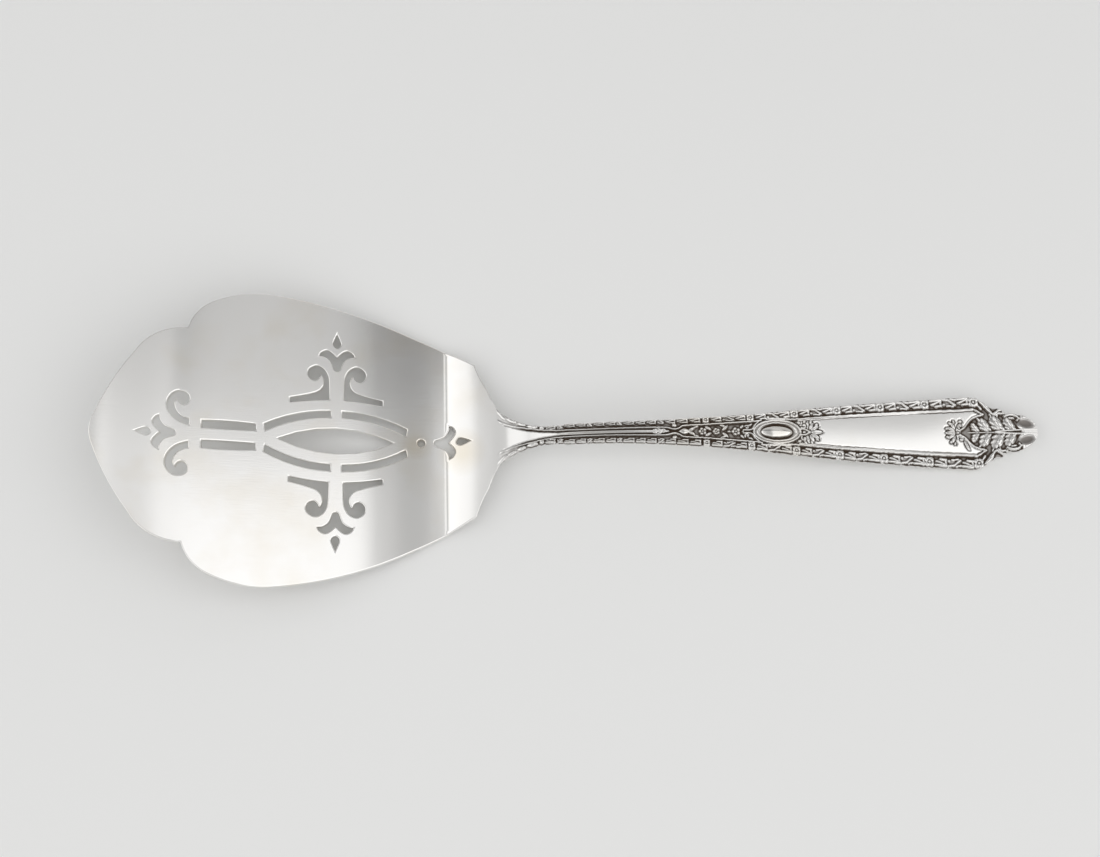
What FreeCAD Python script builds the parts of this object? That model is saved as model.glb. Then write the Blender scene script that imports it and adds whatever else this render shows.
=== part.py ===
"""Pierced cucumber server, struck in one piece of silver.

X runs along the server, with the blade towards -X and the handle towards +X.
Z is up and the server lies on Z = 0, on its heel and on the end of its handle.
Stations are measured along X from the root, where the blade narrows into the neck.
"""
import FreeCAD, Part
import math
import os
import Sketcher
from FreeCAD import Placement, Rotation, Vector

# Name, size in millimetres and meaning of each driving dimension.
SIZES = (
    # Outline of the blade, seen from above
    ("notch_reach", 48.05, "root to the notch behind the tip"),
    ("notch_half", 18.1, "half width at the notch"),
    ("tip_length", 14.7, "notch to the tip of the blade"),
    ("point_half", 2.1, "half width of the rounded point"),
    ("flank_half", 13.45, "half width at the middle of the tip's flank"),
    ("lobe_run", 4.15, "notch to the round corner of the side lobe"),
    ("lobe_half", 23.1, "half width at that corner"),
    ("widest_run", 13.45, "notch to the widest place"),
    ("widest_half", 24.9, "half width at the widest place"),
    ("taper_reach", 12.0, "root to the middle of the taper"),
    ("taper_half", 18.64, "half width there"),
    ("shoulder_reach", 1.0, "root to the shoulder corner"),
    ("shoulder_half", 12.95, "half width at the shoulder corner"),
    ("step_half", 8.5, "half width where the stepped root turns back"),
    ("throat_station", 3.1, "station where the root meets the neck"),
    ("throat_half", 4.2, "half width there"),
    # Outline of the handle
    ("neck_station", 15.0, "narrowest place of the neck"),
    ("neck_half", 1.7, "half width there"),
    ("middle_station", 48.85, "middle of the oval boss"),
    ("middle_half", 3.55, "half width of the handle beside the boss"),
    ("corner_station", 83.2, "corners at the wide end"),
    ("corner_half", 6.25, "half width at the corners"),
    ("leaf_corner", 4.0, "corners to the root of the rounded end cap"),
    ("cap_half", 3.25, "half width of the end cap"),
    ("cap_length", 5.85, "length of the end cap"),
    # Side profile
    ("blade_gauge", 1.2, "thickness of the blade at the heel"),
    ("sweep_reach", 40.0, "root to the middle of the blade's sweep"),
    ("sweep_rise", 6.3, "height over the heel there"),
    ("tip_rise", 11.8, "height of the tip over the heel"),
    ("heel_far", 13.0, "root to the front of the flat heel"),
    ("heel_near", 6.2, "root to the crease behind the heel"),
    ("crest_station", 22.0, "highest place of the neck"),
    ("crest_rise", 5.1, "height of the crest over the heel"),
    ("crest_gauge", 1.7, "thickness at the crest"),
    ("fall_station", 52.0, "place where the handle starts to fall evenly"),
    ("fall_height", 4.35, "height of its upper face there"),
    ("fall_gauge", 2.0, "thickness there"),
    ("foot_length", 14.05, "length of the underside that lies on the table"),
    ("end_gauge", 2.2, "thickness of the ground at the end"),
    # Piercing of the blade
    ("cross_reach", 24.15, "root to the middle of the cross"),
    ("lens_half_length", 9.4, "pointed oval in the middle"),
    ("lens_half_width", 2.14, "pointed oval in the middle"),
    ("stem_half", 0.95, "half width of the bar between the curved slots"),
    ("slot_inner", 4.0, "axis to the inner edge of the curved slots"),
    ("slot_width", 1.15, "width of the curved slots"),
    ("slot_reach", 11.5, "middle of the cross to the slots' far ends"),
    ("slot_drop", 2.8, "fall of the slots towards their far ends"),
    ("bar_gap", 1.35, "curved slots to the straight slots"),
    ("bar_end_gap", 2.0, "straight slots to the hooks"),
    ("bar_inner", 1.05, "axis to the straight slots"),
    ("bar_width", 1.25, "width of the straight slots"),
    ("spray_half", 7.1, "axis to the foot of the scrolls"),
    ("spray_height", 5.8, "height of the scrolls over their foot"),
    ("spray_gap", 1.2, "half width of the bar between the scrolls"),
    ("spray_reach", 7.5, "middle of the cross to the end of the foot"),
    ("foot_width", 0.85, "width of the foot at its end"),
    ("ball_radius", 1.0, "round end of each scroll"),
    ("hook_run", 0.65, "notch to the open side of the two hooks"),
    ("hook_width", 3.5, "length of the hooks"),
    ("hook_inner", 1.4, "axis to the hooks"),
    ("hook_height", 5.7, "height of the hooks"),
    ("palm_length", 3.6, "leaf shape with two wings, stem to wing"),
    ("palm_half", 2.9, "half width over its wings"),
    ("palm_stem", 0.5, "half width of its stem"),
    ("palm_cross", 12.15, "axis to the stems beside the cross"),
    ("palm_run", 1.35, "notch to the stem near the tip"),
    ("palm_root", 8.1, "root to the stem on the crease"),
    ("drop_length", 2.45, "length of the small drops"),
    ("drop_radius", 0.64, "round end of the small drops"),
    ("drop_cross", 16.15, "axis to the drops beside the cross"),
    ("drop_run", 5.15, "notch to the drop near the tip"),
    ("drop_root", 4.4, "root to the drop near the root"),
    ("eye_reach", 10.25, "root to the round hole"),
    ("eye_radius", 0.65, "round hole"),
    # Relief of the handle
    ("relief", 0.45, "height of the ornament over its ground"),
    ("panel_relief", 0.2, "height of the plain panel over the ground"),
    ("border_start", 2.6, "station where the leaf borders begin"),
    ("border_width", 1.55, "width of the borders at the wide end"),
    ("border_neck", 0.95, "width of the borders along the neck"),
    ("border_relief", 0.2, "height of the borders' own ground"),
    ("rib_width", 0.3, "width of the raised lines"),
    ("rib_half", 0.6, "axis to the raised lines along the neck"),
    ("field_length", 17.5, "place where the raised lines pinch to the middle of the boss"),
    ("waist_half", 0.4, "axis to the raised lines at the pinch"),
    ("boss_length", 5.0, "length of the oval boss"),
    ("boss_width", 2.3, "width of the oval boss"),
    ("boss_height", 0.85, "height of the oval boss over the ground"),
    ("ring_step", 0.45, "space between the rings round the boss"),
    ("panel_gap", 4.35, "middle of the boss to the plain panel"),
    ("panel_start_half", 2.1, "half width of the panel there"),
    ("panel_half", 4.15, "half width of the panel at its wide end"),
    ("panel_setback", 0.4, "corners of the handle to the corners of the panel"),
    ("flower_pitch", 7.63, "space between the border flowers"),
    ("flower_radius", 0.72, "radius of a border flower at the wide end"),
    ("leaf_length", 1.75, "length of a border leaf"),
    ("leaf_width", 0.95, "width of a border leaf at the wide end"),
    ("blossom_radius", 0.66, "radius of the flowers between neck and boss"),
    ("spray_leaf", 1.7, "length of the leaves that spread over the panel"),
    ("acanthus_leaf", 1.6, "length of the leaves at the end"),
)

doc = FreeCAD.newDocument("cucumber_server")
sheet = doc.addObject("Spreadsheet::Sheet", "dims")
for row, (name, size, meaning) in enumerate(SIZES, start=1):
    sheet.set("A%d" % row, name)
    sheet.set("B%d" % row, str(size))
    sheet.set("C%d" % row, meaning)
    sheet.setAlias("B%d" % row, name)

# Stations worked out from the driving dimensions
WORKED_OUT = (
    ("blade_reach", "notch_reach + tip_length"),
    ("flank_reach", "notch_reach + 0.555 * tip_length"),
    ("lobe_reach", "notch_reach - lobe_run"),
    ("widest_reach", "notch_reach - widest_run"),
    ("hook_reach", "notch_reach - hook_run"),
    ("palm_tip", "notch_reach + palm_run"),
    ("drop_tip", "notch_reach + drop_run"),
    ("bar_start", "slot_reach + bar_gap"),
    ("bar_end", "hook_reach - bar_end_gap - cross_reach"),
    ("cap_station", "corner_station + leaf_corner"),
    ("handle_reach", "cap_station + cap_length"),
    ("foot_station", "handle_reach - foot_length"),
    ("waist_station", "middle_station - field_length"),
    ("panel_start", "middle_station + panel_gap"),
    ("panel_end", "corner_station - panel_setback"),
)
for row, (name, formula) in enumerate(WORKED_OUT, start=len(SIZES) + 2):
    sheet.set("A%d" % row, name)
    sheet.set("B%d" % row, "=" + formula)
    sheet.setAlias("B%d" % row, name)
doc.recompute()


def size(name):
    """Read one driving dimension from the sheet."""
    return float(sheet.get(name))


# Sketches: corners are pairs of expressions, worked out from the sheet and bound to it

def worked_out(expression):
    return float(sheet.evalExpression(expression.replace("dims.", "")))


def at(corner):
    return Vector(worked_out(corner[0]), worked_out(corner[1]), 0)


def flipped(corner):
    """The same corner on the other side of the sketch's X axis."""
    return corner[0], "-(%s)" % corner[1]


HELD = {}


def bind(sketch):
    """Hold the ends drawn so far, each (geometry, end, corner), at their expressions."""
    rules, expressions = [], []
    for geometry, end, corner in HELD.pop(sketch.Name):
        for axis, expression in zip("XY", corner):
            if expression in ("0", "-(0)"):
                rules.append(Sketcher.Constraint(
                    "PointOnObject", geometry, end, -2 if axis == "X" else -1))
                expressions.append(None)
            else:
                rules.append(Sketcher.Constraint(
                    "Distance" + axis, -1, 1, geometry, end, worked_out(expression)))
                expressions.append(expression)
    for number, expression in zip(sketch.addConstraint(rules), expressions):
        if expression:
            sketch.setExpression("Constraints[%d]" % number, expression)


def trace(sketch, start, runs, flip=False):
    """Draw a chain of runs. Each run is a list of corners: one for a line,
    two for an arc and more for a smooth curve. The last one is its end.
    The curves are returned."""
    side = flipped if flip else (lambda corner: corner)
    here = side(start)
    drawn, held = [], HELD.setdefault(sketch.Name, [])
    for run in runs:
        corners = [side(corner) for corner in run]
        points = [at(here)] + [at(corner) for corner in corners]
        ends = (1, 2)
        if len(run) == 1:
            curve = Part.LineSegment(*points)
        elif len(run) == 2:
            curve = Part.Arc(*points)
            if (points[1] - points[0]).cross(points[2] - points[1]).z < 0:
                ends = (2, 1)
        else:
            curve = Part.BSplineCurve()
            curve.interpolate(points)
        number = sketch.addGeometry(curve, False)
        held += [(number, ends[0], here), (number, ends[1], corners[-1])]
        drawn.append(curve)
        here = corners[-1]
    return drawn


def origin_plane(body, role):
    return [feature for feature in body.Origin.OriginFeatures if feature.Role == role][0]


def new_sketch(body, name, plane):
    sketch = body.newObject("Sketcher::SketchObject", name)
    sketch.AttachmentSupport = (origin_plane(body, plane), [""])
    sketch.MapMode = "FlatFace"
    return sketch


# The blank: outline from above, trimmed to the side profile

body = doc.addObject("PartDesign::Body", "blank")

outline = new_sketch(body, "outline", "XY_Plane")
TIP = ("-dims.blade_reach", "0")
NOTCH = ("-dims.notch_reach", "dims.notch_half")
SHOULDER = ("-dims.shoulder_reach", "dims.shoulder_half")
THROAT = ("dims.throat_station", "dims.throat_half")
CORNER = ("dims.corner_station", "dims.corner_half")
CAP = ("dims.cap_station", "dims.cap_half")
END = ("dims.handle_reach", "0")
HALF_OUTLINE = (
    # flank of the tip, rounded at the point and bowed out towards the notch
    [("-dims.blade_reach + 0.12", "0.5 * dims.point_half"),
     ("-dims.blade_reach + 0.6", "dims.point_half")],
    [("-0.5 * (dims.blade_reach + dims.flank_reach)",
      "0.5 * (dims.point_half + dims.flank_half) + 0.65"),
     ("-dims.flank_reach", "dims.flank_half")],
    [("-0.6 * dims.flank_reach - 0.4 * dims.notch_reach", "0.93 * dims.notch_half"),
     NOTCH],
    # side lobe and taper
    [("-0.5 * (dims.notch_reach + dims.lobe_reach)",
      "0.28 * dims.notch_half + 0.72 * dims.lobe_half"),
     ("-dims.lobe_reach", "dims.lobe_half")],
    [("-0.45 * dims.lobe_reach - 0.55 * dims.widest_reach",
      "0.12 * dims.lobe_half + 0.88 * dims.widest_half"),
     ("-dims.widest_reach", "dims.widest_half")],
    [("-0.5 * (dims.widest_reach + dims.taper_reach)",
      "0.5 * (dims.widest_half + dims.taper_half) + 0.95"),
     ("-dims.taper_reach", "dims.taper_half")],
    [("-0.5 * (dims.taper_reach + dims.shoulder_reach)",
      "0.5 * (dims.taper_half + dims.shoulder_half) + 0.25"), SHOULDER],
    # stepped root
    [("0.25", "0.5 * (dims.shoulder_half + dims.step_half) - 0.9"),
     ("0.3 * dims.throat_station", "dims.step_half")],
    [("0.62 * dims.throat_station", "0.5 * (dims.step_half + dims.throat_half) + 0.1"),
     THROAT],
    # neck and handle
    [("0.6 * dims.throat_station + 0.4 * dims.neck_station",
      "0.25 * dims.throat_half + 0.75 * dims.neck_half - 0.1"),
     ("dims.neck_station", "dims.neck_half")],
    [("0.5 * (dims.neck_station + dims.middle_station)",
      "0.68 * dims.neck_half + 0.32 * dims.middle_half"),
     ("dims.middle_station", "dims.middle_half")],
    [("0.4 * dims.middle_station + 0.6 * dims.corner_station",
      "0.4 * dims.middle_half + 0.6 * dims.corner_half + 0.35"),
     CORNER],
    # leaf corner
    [("0.5 * (dims.corner_station + dims.cap_station)",
      "0.5 * (dims.corner_half + dims.cap_half) - 0.25"),
     CAP],
    # rounded cap
    [("0.5 * (dims.cap_station + dims.handle_reach) + 0.3", "0.9 * dims.cap_half"),
     ("0.1 * dims.cap_station + 0.9 * dims.handle_reach", "0.45 * dims.cap_half")],
    [("0.03 * dims.cap_station + 0.97 * dims.handle_reach", "0.25 * dims.cap_half"),
     END],
)
RIM = trace(outline, TIP, HALF_OUTLINE)
trace(outline, TIP, HALF_OUTLINE, flip=True)
bind(outline)

stock = body.newObject("PartDesign::Pad", "stock")
stock.Profile = outline
stock.setExpression("Length", "dims.tip_rise + dims.blade_gauge + 10")


# Side profile, as runs from the tip to the end of the handle, in (X, Z)
GAUGE, CREST = "dims.blade_gauge", "dims.crest_rise + dims.blade_gauge"
CREST_UNDER = CREST + " - dims.crest_gauge"
FALL_UNDER = "dims.fall_height - dims.fall_gauge"


def side_profile(blade_top, crease, crest, fall, foot):
    """The blade's sweep, the flat heel, the raised neck and the falling handle."""
    sweep = "dims.sweep_reach"
    return [
        [("-0.5 * (dims.blade_reach + %s)" % sweep,
          "0.5 * (dims.tip_rise + dims.sweep_rise) + 0.35 + " + blade_top),
         ("-" + sweep, "dims.sweep_rise + " + blade_top)],
        [("-0.5 * (%s + dims.heel_far)" % sweep, "0.43 * dims.sweep_rise + " + blade_top),
         ("-dims.heel_far", blade_top)],
        [("-" + crease, blade_top)],
        [("0.5 * (dims.crest_station - %s)" % crease,
          "0.3 * (%s) + 0.7 * (%s)" % (blade_top, crest)),
         ("dims.crest_station", crest)],
        [("0.5 * (dims.crest_station + dims.fall_station)",
          "0.5 * (%s + %s) + 0.38" % (crest, fall)),
         ("dims.fall_station", fall)],
        [("dims.foot_station - 5", "0.84 * (%s) + 0.16 * (%s) + 0.05" % (foot, fall))],
        [("dims.foot_station", foot + " + 0.06"), ("dims.foot_station + 4", foot)],
        [("dims.handle_reach", foot)]]


def trim(name, start, runs, level):
    """Pocket away what lies between the side profile and a level beyond it."""
    sketch = new_sketch(body, name + "_profile", "XZ_Plane")
    curves = trace(sketch, start, runs)
    left, right = ("-dims.blade_reach - 5", start[1]), ("dims.handle_reach + 5", runs[-1][-1][1])
    trace(sketch, start, [[left], [(left[0], level)], [(right[0], level)], [right],
                          [runs[-1][-1]]])
    bind(sketch)
    pocket = body.newObject("PartDesign::Pocket", name)
    pocket.Profile = sketch
    pocket.Type = 1
    pocket.Midplane = True
    return curves


TOP = trim("upper_face", ("-dims.blade_reach", GAUGE + " + dims.tip_rise"),
           side_profile(GAUGE, "dims.heel_near", CREST, "dims.fall_height",
                        "dims.end_gauge"), "dims.tip_rise + dims.blade_gauge + 12")
trim("lower_face", ("-dims.blade_reach", "dims.tip_rise"),
     side_profile("0", "(dims.heel_near - 0.3)", CREST_UNDER, FALL_UNDER, "0"), "-2")

# The piercing: openings of one side are cut and mirrored, then those on the axis are cut

CROSS = "-dims.cross_reach"


def beside(sign, reach):
    """A station on one side of the middle of the cross."""
    return "%s %s (%s)" % (CROSS, "+" if sign > 0 else "-", reach)


def lens(sketch):
    left, right = (beside(-1, "dims.lens_half_length"), "0"), (beside(1, "dims.lens_half_length"), "0")
    for half in ("dims.lens_half_width", "-dims.lens_half_width"):
        trace(sketch, left, [[(CROSS, half), right]])


def curved_slot(sketch, sign):
    near, far = beside(sign, "dims.stem_half"), beside(sign, "dims.slot_reach")
    middle = beside(sign, "0.5 * (dims.stem_half + dims.slot_reach)")
    inner, outer = "dims.slot_inner", "dims.slot_inner + dims.slot_width"
    trace(sketch, (near, inner), [
        [(near, outer)],
        [(middle, outer + " - 0.24 * dims.slot_drop"), (far, outer + " - dims.slot_drop")],
        [(beside(sign, "dims.slot_reach - 0.15"), inner + " - dims.slot_drop")],
        [(middle, inner + " - 0.26 * dims.slot_drop"), (near, inner)]])


def straight_slot(sketch):
    near, far = beside(-1, "dims.bar_start"), beside(-1, "dims.bar_end")
    inner, outer = "dims.bar_inner", "dims.bar_inner + dims.bar_width"
    trace(sketch, (near, inner), [[(near, outer)], [(far, outer)], [(far, inner)],
                                    [(near, inner)]])


def footed_scroll(sketch, sign):
    """Upright bar that curls over into a ball, on a long tapering foot."""
    def spot(out, up):
        return beside(sign, out), "dims.spray_half + " + up
    rise, ball = "dims.spray_height", "dims.ball_radius"
    inside = "dims.spray_gap + 0.85"
    middle = "dims.spray_gap + 2.55"
    trace(sketch, spot("dims.spray_gap", "0"), [
        [spot("dims.spray_gap + 0.05", "0.52 * " + rise)],
        [spot("dims.spray_gap + 0.2", "0.73 * " + rise),
         spot("dims.spray_gap + 0.8", "0.92 * " + rise)],
        [spot("dims.spray_gap + 1.25", "0.985 * " + rise),
         spot(middle + " - 0.75", rise)],
        [spot(middle + " + " + ball, rise + " - 1.6 * " + ball),
         spot(middle, rise + " - 2.6 * " + ball)],
        [spot(middle + " - 0.72 * " + ball, rise + " - 2.3 * " + ball),
         spot(middle + " - 1.02 * " + ball, rise + " - 1.72 * " + ball)],
        [spot(inside, "0.52 * " + rise),
         spot(inside + " + 0.45", "0.33 * " + rise)],
        [spot(inside + " + 2.1", "0.17 * " + rise),
         spot("dims.spray_reach", "0.05")],
        [spot("dims.spray_reach", "0.05 - dims.foot_width")],
        [spot("0.5 * (dims.spray_gap + dims.spray_reach)", "-0.25 * dims.foot_width"),
         spot("dims.spray_gap", "0")]])


def hook(sketch):
    """C-shaped slot near the tip, with a ball at its outer end."""
    def spot(out, up):
        return "-(dims.hook_reach + %s)" % out, "dims.hook_inner + %s" % up
    width, rise, ball = "dims.hook_width", "dims.hook_height", "dims.ball_radius"
    trace(sketch, spot("0", "0"), [
        [spot("0.45 * " + width, "0.14 * " + rise),
         spot("0.86 * " + width, "0.35 * " + rise)],
        [spot(width, "0.62 * " + rise),
         spot("0.84 * " + width, "0.89 * " + rise)],
        [spot("0.68 * " + width, "0.97 * " + rise),
         spot("0.48 * " + width, rise)],
        [spot("0", rise + " - 1.35 * " + ball),
         spot(ball, rise + " - 2.35 * " + ball)],
        [spot("1.75 * " + ball, rise + " - 2.05 * " + ball),
         spot("2.02 * " + ball, rise + " - 1.45 * " + ball)],
        [spot("0.68 * " + width, "0.6 * " + rise),
         spot("0.6 * " + width, "0.42 * " + rise)],
        [spot("0.35 * " + width, "0.27 * " + rise),
         spot("0", "0.2 * " + rise)],
        [spot("0", "0")]])


def winged_leaf(sketch, place):
    """Stem with two wings. The function place maps (along, across) to a corner."""
    length, half, stem = "dims.palm_length", "dims.palm_half", "dims.palm_stem"

    def spot(along, across):
        return place("%s * %s" % (along, length), across)
    for side in ("", "-"):
        cusp = spot("0.66", "0")
        trace(sketch, spot("0", "0"), [
            [spot("0.12", side + stem), spot("0.35", side + "0.29 * " + half)],
            [spot("0.56", side + "0.46 * " + half), spot("0.68", side + half)],
            [spot("0.9", side + "0.88 * " + half), spot("1", side + "0.6 * " + half)],
            [spot("0.88", side + "0.27 * " + half), cusp]])


def drop(sketch, place):
    """Round at one end and pointed at the other."""
    length, radius = "dims.drop_length", "dims.drop_radius"
    point = place(length, "0")
    for side in ("", "-"):
        trace(sketch, place("0", "0"), [
            [place("0.3 * " + radius, side + "0.71 * " + radius),
             place(radius, side + radius)],
            [place("0.6 * " + length, side + "0.75 * " + radius), point]])


def upwards(station, start):
    return lambda along, across: ("%s + (%s)" % (station, across), "%s + %s" % (start, along))


def to_tip(start):
    return lambda along, across: ("-(%s + %s)" % (start, along), across)


def to_root(start):
    return lambda along, across: ("-(%s) + %s" % (start, along), across)


def eye(sketch):
    centre = ("-dims.eye_reach", "0")
    number = sketch.addGeometry(Part.Circle(at(centre), Vector(0, 0, 1), size("eye_radius")),
                                False)
    HELD[sketch.Name].append((number, 3, centre))
    rule = sketch.addConstraint(Sketcher.Constraint("Radius", number, size("eye_radius")))
    sketch.setExpression("Constraints[%d]" % rule, "dims.eye_radius")


def pierce(name, *drawings):
    """Cut the drawn openings through the blade."""
    sketch = new_sketch(body, name + "_outline", "XY_Plane")
    for drawing, *values in drawings:
        drawing(sketch, *values)
    bind(sketch)
    before = body.Tip.Shape.Volume
    pocket = body.newObject("PartDesign::Pocket", name)
    pocket.Profile = sketch
    pocket.Type = 1
    pocket.Midplane = True
    doc.recompute()
    if not pocket.Shape.Volume < before - 0.5:
        raise RuntimeError("%s cuts nothing" % name)
    return pocket


doc.recompute()
one_side = [pierce("slots", (curved_slot, -1), (curved_slot, 1), (straight_slot,)),
            pierce("scrolls", (footed_scroll, -1), (footed_scroll, 1), (hook,)),
            pierce("leaves", (winged_leaf, upwards(CROSS, "dims.palm_cross")),
                   (drop, upwards(CROSS, "dims.drop_cross")))]
other_side = body.newObject("PartDesign::Mirrored", "other_side")
other_side.Originals = one_side
other_side.MirrorPlane = (origin_plane(body, "XZ_Plane"), [""])
body.Tip = other_side
doc.recompute()
pierce("axis", (lens,), (eye,), (winged_leaf, to_tip("dims.palm_tip")),
       (winged_leaf, to_root("dims.palm_root")), (drop, to_tip("dims.drop_tip")),
       (drop, to_root("dims.drop_root")))


# Relief of the handle, laid out in plan and raised over the upper face

def along(curves, station):
    """Height and slope, at a station, of a chain of curves that runs along X."""
    for curve in curves:
        low, high = curve.FirstParameter, curve.LastParameter
        if curve.value(low).x - 1e-6 <= station <= curve.value(high).x + 1e-6:
            for halving in range(40):
                middle = (low + high) / 2
                if curve.value(middle).x < station:
                    low = middle
                else:
                    high = middle
            direction = curve.tangent(middle)[0]
            return curve.value(middle).y, direction.y / direction.x
    raise ValueError("station %.2f is off the server" % station)


def chain(points):
    """Arcs through an odd row of points, three at a time."""
    edges = []
    for first, middle, last in zip(points[0::2], points[1::2], points[2::2]):
        if (middle - first).cross(last - middle).Length < 1e-4:
            edges.append(Part.makeLine(first, last))
        else:
            edges.append(Part.Arc(first, middle, last).toShape())
    return edges


def layer(top, bottom=-0.3):
    """Slab that follows the upper face of the handle, between two heights over it."""
    edges, ends = [], []
    for rise in (bottom, top):
        for curve in TOP[3:]:
            moved = curve.copy()
            moved.translate(Vector(0, rise, 0))
            edges.append(moved.toShape())
        ends.append((edges[-len(TOP[3:])].firstVertex(True).Point,
                     edges[-1].lastVertex(True).Point))
    for below, above in zip(*ends):
        edges.append(Part.makeLine(below, above))
    side = Part.Face(Part.Wire(Part.__sortEdges__(edges)))
    side.rotate(Vector(0, 0, 0), Vector(1, 0, 0), 90)
    side.translate(Vector(0, size("widest_half"), 0))
    return side.extrude(Vector(0, -2 * size("widest_half"), 0))


def raised(faces, top):
    """Pieces with the given plans, as high as top over the upper face."""
    height = size("tip_rise") + size("blade_gauge") + 10
    slab = layer(top)
    return [slab.common(face.extrude(Vector(0, 0, height))) for face in faces]


def band(inner, outer):
    """Plan between two rows of points."""
    edges = chain(inner) + chain(outer)
    edges += [Part.makeLine(inner[0], outer[0]), Part.makeLine(inner[-1], outer[-1])]
    return Part.Face(Part.Wire(Part.__sortEdges__(edges)))


def ribbon(points, width):
    """Plan of a line of even width along a row of points."""
    rows = ([], [])
    for number, point in enumerate(points):
        before, after = points[max(number - 1, 0)], points[min(number + 1, len(points) - 1)]
        direction = (after - before).normalize()
        across = Vector(-direction.y, direction.x, 0) * (width / 2)
        rows[0].append(point - across)
        rows[1].append(point + across)
    return band(*rows)


def oval(long_radius, short_radius, sides=14):
    """Plan of an oval with short straight sides."""
    angles = [2 * math.pi * step / sides for step in range(sides + 1)]
    return Part.Face(Part.makePolygon([Vector(long_radius * math.cos(angle),
                                              short_radius * math.sin(angle), 0)
                                       for angle in angles]))


def seated(plan, station, offset, turn=0.0):
    """Low prism that stands on the upper face, a little higher than the raised lines."""
    level, slope = along(TOP, station)
    sunk = 0.3
    prism = plan.extrude(Vector(0, 0, size("relief") + 0.04 + sunk))
    prism.Placement = Placement(
        Vector(station, offset, level - sunk),
        Rotation(Vector(0, 1, 0), -math.degrees(math.atan(slope)))
        * Rotation(Vector(0, 0, 1), turn))
    return prism


def ring(station, offset, long_radius, short_radius, width, turn=0.0):
    """Raised oval ring."""
    inner = oval(long_radius - width, short_radius - width)
    plan = oval(long_radius, short_radius).cut(inner).Faces[0]
    return seated(plan, station, offset, turn)


def pointed(station, offset, turn, length, width):
    """Leaf with four sides, widest beyond its middle."""
    corners = [Vector(share * length, half * width, 0) for share, half in
               ((-0.5, 0), (0.12, -0.5), (0.5, 0), (0.12, 0.5), (-0.5, 0))]
    return seated(Part.Face(Part.makePolygon(corners)), station, offset, turn)


def fan(station, offset, heading, length, width):
    """Leaf that starts at a point and runs out from it."""
    away = math.radians(heading)
    return pointed(station + length / 2 * math.cos(away), offset + length / 2 * math.sin(away),
                   heading, length, width)


def blossom(station, offset, radius):
    """Flower with four petals."""
    corners = []
    for number in range(9):
        reach = radius * (1.0 if number % 2 == 0 else 0.55)
        away = math.radians(45 + 45 * number)
        corners.append(Vector(reach * math.cos(away), reach * math.sin(away), 0))
    return seated(Part.Face(Part.makePolygon(corners)), station, offset)


def mirrored(solids):
    return solids + [solid.mirror(Vector(0, 0, 0), Vector(0, 1, 0)) for solid in solids]


def blend(station, first, last, start, end):
    """Value that runs evenly from start to end between two stations, and stays so beyond."""
    share = min(max((station - first) / (last - first), 0.0), 1.0)
    return start + share * (end - start)


def border_width(station):
    wide = blend(station, size("neck_station"), size("corner_station"),
                 size("border_neck"), size("border_width"))
    return wide * blend(station, size("border_start"), size("border_start") + 5, 0.3, 1.0)


def border_line(station, share):
    """Point of the border: share 0 is its inner edge and 1 its outer edge."""
    edge = along(RIM, station)[0] - 0.05
    return Vector(station, edge - (1 - share) * border_width(station), 0)


def borders():
    """Raised strip along each edge, the ground of its leaves and flowers."""
    first, last = size("border_start"), size("corner_station") - 0.05
    count = 14
    stations = [first + (last - first) * step / count for step in range(count + 1)]
    plan = band([border_line(station, 0) for station in stations],
                [border_line(station, 1) for station in stations])
    pieces = raised([plan], size("border_relief"))
    return mirrored(pieces)


def flower_stations():
    """Stations of the border flowers, from the neck to the wide end."""
    last = size("corner_station") - 0.7 * size("flower_radius")
    count = int((last - size("waist_station")) / size("flower_pitch")) + 1
    return [last - size("flower_pitch") * step for step in range(count)][::-1]


def border_leaves():
    """Flowers of the borders, with three slanting leaves between each two."""
    length, width = size("leaf_length"), size("leaf_width")
    flowers = flower_stations()
    leaves = []
    for station in flowers:
        full = border_width(station) / size("border_width")
        leaves.append(blossom(station, border_line(station, 0.5).y,
                             size("flower_radius") * full))
    for left, right in zip(flowers, flowers[1:]):
        for share, turn in ((0.25, 16), (0.5, -14), (0.75, 16)):
            station = left + share * (right - left)
            full = border_width(station) / size("border_width")
            leaves.append(pointed(station, border_line(station, 0.5).y, turn, length, width * full))
    pitch = 1.75 * length
    station = flowers[0] - 0.65 * pitch
    turn = 8
    while station > size("border_start") + pitch:
        centre = border_line(station, 0.5)
        lean = math.degrees(math.atan(along(RIM, station)[1]))
        leaves.append(pointed(station, centre.y, lean + turn, 0.9 * pitch,
                             0.66 * border_width(station)))
        station -= pitch
        turn = -turn
    return mirrored(leaves)


def field_flowers():
    """Flowers and leaves between the neck and the boss, and sprays over the panel."""
    radius, long = size("blossom_radius"), size("spray_leaf")
    waist, middle = size("waist_station"), size("middle_station")
    last = middle - size("boss_length") / 2 - 4.3 * size("ring_step") - 2.2 * radius
    leaves = []
    for share in (0.0, 0.5, 1.0):
        station = blend(share, 0, 1, waist + 4.2, last)
        leaves.append(blossom(station, 0, radius * (0.85 + 0.2 * share)))
        leaves.append(fan(station + 1.15 * radius, 0.15, 40, 1.5 * radius, 0.6 * radius))
        leaves.append(fan(station + 1.15 * radius, -0.15, -40, 1.5 * radius, 0.6 * radius))
    leaves.append(pointed(waist + 2.1, 0, 0, 2.2, 1.3 * radius))
    for station, facing in ((size("panel_start") + 1.3, 0), (size("panel_end") - 3.2, 180)):
        for turn in (0, 42, -42, 84, -84):
            leaves.append(fan(station + 0.35 * math.cos(math.radians(facing + turn)),
                             0.35 * math.sin(math.radians(facing + turn)),
                             facing + turn, long, 0.36 * long))
    return leaves


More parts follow.
